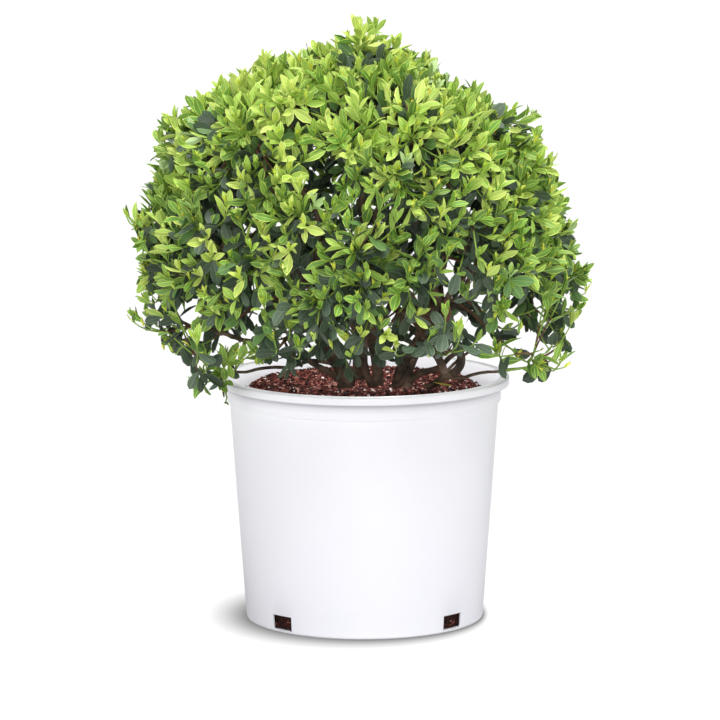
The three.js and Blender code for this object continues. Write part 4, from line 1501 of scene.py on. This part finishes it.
def dress_shoot(mass, line, young, young_tint, old_tint):
    """Leaflets and young leaves at a shoot's end and old ones behind them; counts the leaves it keeps."""
    end = line.at(1)
    line.leaves = 0
    turn = chance.uniform(0, 2 * math.pi)
    droop = DROOP * (DROOP_LOW - height_share(end))
    for i in range(LEAFLETS if young else 0):
        tilt = chance.uniform(*LEAFLET_TILT)
        along, face = leaf_directions(line.heading(1), turn - (i + 1) * GOLDEN, tilt)
        length = chance.uniform(*LEAFLET_LENGTH)
        add_leaf("leaflet", mass, end, along, face, length, young_tint % len(LEAFLET_TINTS))
    for i, (before, length, tilt) in enumerate(LEAF_SPOTS):
        if before > line.length:
            break
        here = 1 - before / line.length
        length *= chance.uniform(1 - SIZE_VARIES, 1 + SIZE_VARIES)
        root = line.at(here)
        tilt *= YOUNG_CLOSES if i < young else 1
        tilt += chance.uniform(-TILT_VARIES, TILT_VARIES)
        along, face = leaf_directions(line.heading(here), turn + i * GOLDEN, tilt)
        if i < young:
            face = rolled(face, along, ROLL / 2)
            line.leaves += add_leaf("young", mass, root, along, face, length, young_tint)
        elif not shown_through(root) and chance.random() < old_share(mass):
            along = (along - UP * droop).normalized()
            face = rolled(face + UP * FACE_UP, along, ROLL)
            line.leaves += add_leaf("old", mass, root, along, face, max(length, OLD_FROM), old_tint)


def dress_main(mass, line, old_tint):
    """Old leaves along a main twig, inside the crown."""
    turn = chance.uniform(0, 2 * math.pi)
    walked = line.length * MAIN_LEAF_FROM
    i = 0
    while walked < line.length - MAIN_LEAF_STOP:
        here = walked / line.length
        tilt = chance.uniform(*MAIN_LEAF_TILT)
        along, face = leaf_directions(line.heading(here), turn + i * GOLDEN, tilt)
        root = line.at(here)
        length = chance.uniform(*MAIN_LEAF_LENGTH)
        if not shown_through(root) and chance.random() < old_share(mass):
            along = (along - UP * DROOP).normalized()
            add_leaf("old", mass, root, along, rolled(face + UP * FACE_UP, along, ROLL), length, old_tint)
        walked += MAIN_LEAF_STEP
        i += 1


print("places for leaves on a shoot", len(LEAF_SPOTS))

# %% [markdown]
# The top of the crown is the newest and lightest, and the lower leaves are older and darker. Each shoot
# gets one young and one old tint, drawn by shares that change with its height. Those shares are partly
# painted light as well: the top is dealt lighter tints and the low crown darker ones, as if lit from above.
# A few single leaves low down have turned yellow or red, and are placed one by one.

# %% Deal the leaves and their tints
YOUNG_LEAST, YOUNG_MOST = 3, 9  # young leaves on a shoot, low in the crown and at its top
YOUNG_VARIES = 1.2  # before rounding, a shoot has up to this many more or fewer
YOUNG_ON_LOW = 2  # and a shoot of the two low boughs has this many more
ODD_LEAF_LENGTH = (18, 23)
# the low and high shares are partly painted light: lighter tints at the top, darker ones low down
YOUNG_TINTS = [
    {"blade": "a2c858", "edge": "e4f078", "low": 3, "high": 4},
    {"blade": "b2d262", "edge": "eef288", "low": 0.8, "high": 5.5},
    {"blade": "86ac4e", "edge": "d0e268", "low": 4, "high": 3},
    {"blade": "bfd86a", "edge": "f4f690", "low": 0.15, "high": 4.5},
    {"blade": "688e40", "edge": "bcd25e", "low": 6, "high": 1},
    # this pale tint stands partly for paler leaves and partly for a painted sheen of light on them
    {"blade": "b8d692", "edge": "e2f0b0", "low": 0.1, "high": 0.6},
    {"blade": "77a748", "edge": "d2e45e", "low": 5, "high": 2},
]
OLD_TINTS = [
    {"blade": "4c604a", "edge": "6c7c66", "low": 4, "high": 5},
    {"blade": "3e4d3b", "edge": "586855", "low": 5, "high": 1.5},
    {"blade": "5a6c57", "edge": "7c8b75", "low": 3, "high": 3},
    {"blade": "5f8448", "edge": "86a45c", "low": 0.6, "high": 7},
    {"blade": "bfb04e", "edge": "d8cc78", "low": 0, "high": 0},
    {"blade": "5a2f28", "edge": "80503f", "low": 0, "high": 0},
]
YELLOWED, REDDENED = 4, 5
ODD_LEAVES = [  # single leaves that have turned: root, way along, tint
    ((52, -62, 245), (0.5, -0.3, -0.2), YELLOWED), ((66, -66, 243), (0.9, -0.2, 0), YELLOWED),
    ((-34, -70, 242), (-0.7, -0.4, -0.1), YELLOWED), ((76, -152, 336), (0.2, -0.3, -0.9), REDDENED),
]


def dealt_tint(tints, high):
    """A tint's number, dealt out by its shares low in the crown and at its top."""
    return chance.choices(range(len(tints)), [t["low"] + (t["high"] - t["low"]) * high for t in tints])[0]


for mass in masses:
    for line in mass["shoots"] + mass["mains"]:
        high = height_share(line.at(1))
        young = YOUNG_LEAST + (YOUNG_MOST - YOUNG_LEAST) * high
        young = round(young + chance.uniform(-YOUNG_VARIES, YOUNG_VARIES))
        if mass["over_rim"]:
            young += YOUNG_ON_LOW
        dress_shoot(mass, line, young, dealt_tint(YOUNG_TINTS, high), dealt_tint(OLD_TINTS, high))
    for line in mass["dark"]:
        dress_shoot(mass, line, 0, 0, dealt_tint(OLD_TINTS, 0))
    for line in mass["hung"]:
        dress_hung(mass, line, dealt_tint(OLD_TINTS, 0))
    for line in mass["mains"]:
        dress_main(mass, line, dealt_tint(OLD_TINTS, 0))
for place, way, tint in ODD_LEAVES:
    root = Vector(place)
    add_leaf("old", nearest_mass(root), root, Vector(way), UP, chance.uniform(*ODD_LEAF_LENGTH), tint, True)
print({kind: len(found) for kind, found in leaves.items()})

# %% [markdown]
# ## Joining the foliage
# Thousands of separate leaf objects would be slow and can't be exported, so each kind is one joined mesh
# for each storey of the crown. The colours are plain and are dealt out by shoot: all the leaves of a shoot
# are of one age and light, and neighbouring shoots differ, which is what makes the crown look alive.

# %% Join the leaves of each storey
STOREYS = {"upper": ("top", "upper"), "middle": ("side",), "lower": ("skirt", "low")}


def storey_of(name):
    return next(s for s, starts in STOREYS.items() if name.startswith(starts))


def nodes_of(storey):
    return [f"foliage_{mass['name']}" for mass in masses if storey_of(mass["name"]) == storey]


def two_colours(kind, tints, roughness, specular):
    """Blade and edge materials for each tint, in slot order."""
    made = []
    for i, tint in enumerate(tints):
        for part in ("blade", "edge"):
            made.append(new_material(f"{kind}_{part}_{i + 1}", tint[part], roughness, specular))
    return made


def finish_piece(piece, storey):
    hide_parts(*nodes_of(storey))
    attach(piece, "root")
    print(piece.name, "triangles", sum(len(p.vertices) - 2 for p in piece.data.polygons))


def join_leaves(name, kind, shapes, materials, slots_per_tint):
    for storey in STOREYS:
        own = [leaf for leaf in leaves[kind] if storey_of(leaf[0]) == storey]
        parts = []
        for i, shape in enumerate(shapes):
            dealt = own[i::len(shapes)]
            bases = np.array([leaf[1] for leaf in dealt]) * MM
            roots = np.array([leaf[2] for leaf in dealt]) * MM
            tints = np.array([leaf[3] for leaf in dealt]) * slots_per_tint
            parts.append(copies(shape, bases, roots, tints))
        finish_piece(mesh_from_arrays(f"{name}_{storey}", *stacked(parts), materials), storey)


young_materials = two_colours("young_leaf", YOUNG_TINTS, roughness=0.5, specular=0.4)
old_materials = two_colours("old_leaf", OLD_TINTS, roughness=0.46, specular=0.4)
leaflet_materials = [
    new_material(f"leaflet_{i + 1}", tint, roughness=0.5, specular=0.4)
    for i, tint in enumerate(LEAFLET_TINTS)
]
join_leaves("young_leaves", "young", YOUNG_SHAPES, young_materials, slots_per_tint=2)
join_leaves("old_leaves", "old", OLD_SHAPES, old_materials, slots_per_tint=2)
join_leaves("leaflets", "leaflet", LEAFLET_SHAPES, leaflet_materials, slots_per_tint=1)

# %% Join the twigs of each storey
TUBE_SIDES = 4
TUBE_STEP = 14  # millimetres between the rings
GREEN_LENGTH = 36  # this year's growth at a shoot's end is still green
FEWEST_LEAVES = 4  # a shoot with fewer leaves than this is left out
TIP_RADIUS = 0.75
OVERLAP = 0.02  # the brown part runs on this share into the green


def tube(line, start, end, radius_at):
    """A tube round part of a line, with flat ends, in triangles."""
    count = 3 + int(line.length * (end - start) / TUBE_STEP)
    shares = np.linspace(start, end, count)
    places = np.array([line.at(share) for share in shares])
    headings = np.array([line.heading(share) for share in shares])
    chord = Vector(places[-1] - places[0]).normalized()
    side = np.cross(headings, np.array(chord.orthogonal().normalized()))
    side /= np.linalg.norm(side, axis=1)[:, None]
    other = np.cross(headings, side)
    turns = np.linspace(0, 2 * math.pi, TUBE_SIDES, endpoint=False)
    radii = np.array([radius_at(share) for share in shares])
    ring = side[:, None] * np.cos(turns)[None, :, None] + other[:, None] * np.sin(turns)[None, :, None]
    corners = (places[:, None] + ring * radii[:, None, None]).reshape(-1, 3)
    faces = []
    for i in range(count - 1):
        for j in range(TUBE_SIDES):
            a, b = i * TUBE_SIDES + j, i * TUBE_SIDES + (j + 1) % TUBE_SIDES
            faces += [(a, b, b + TUBE_SIDES), (a, b + TUBE_SIDES, a + TUBE_SIDES)]
    last = (count - 1) * TUBE_SIDES
    for j in range(1, TUBE_SIDES - 1):
        faces += [(0, j + 1, j), (last, last + j, last + j + 1)]
    return corners * MM, np.array(faces), np.zeros(len(faces), int)


green_material = new_material("green_shoot", "86a445", roughness=0.55, specular=0.35)
twig_material = new_material("brown_twig", "6f553f", roughness=0.8, specular=0.25)
twig_grain = add_grain(twig_material, fine_scale=800, broad_scale=120)
ramp_colour(
    twig_material, twig_grain.outputs["Broad"], [(0.3, "4f3b2d"), (0.55, "6f553f"), (0.8, "8f7a58")],
)
for storey in STOREYS:
    green, brown = [], []
    for mass in masses:
        if storey_of(mass["name"]) != storey:
            continue
        shoots = [line for line in mass["shoots"] + mass["dark"] if line.leaves >= FEWEST_LEAVES]
        for line in mass["mains"] + shoots + mass["hung"]:
            turning = max(1 - GREEN_LENGTH / line.length, 0)
            radius_at = tapered(line.radius, TIP_RADIUS)
            green.append(tube(line, turning, 1, radius_at))
            if turning > 0:
                brown.append(tube(line, 0, turning + OVERLAP, radius_at))
    finish_piece(mesh_from_arrays(f"green_shoots_{storey}", *stacked(green), [green_material]), storey)
    finish_piece(mesh_from_arrays(f"brown_twigs_{storey}", *stacked(brown), [twig_material]), storey)
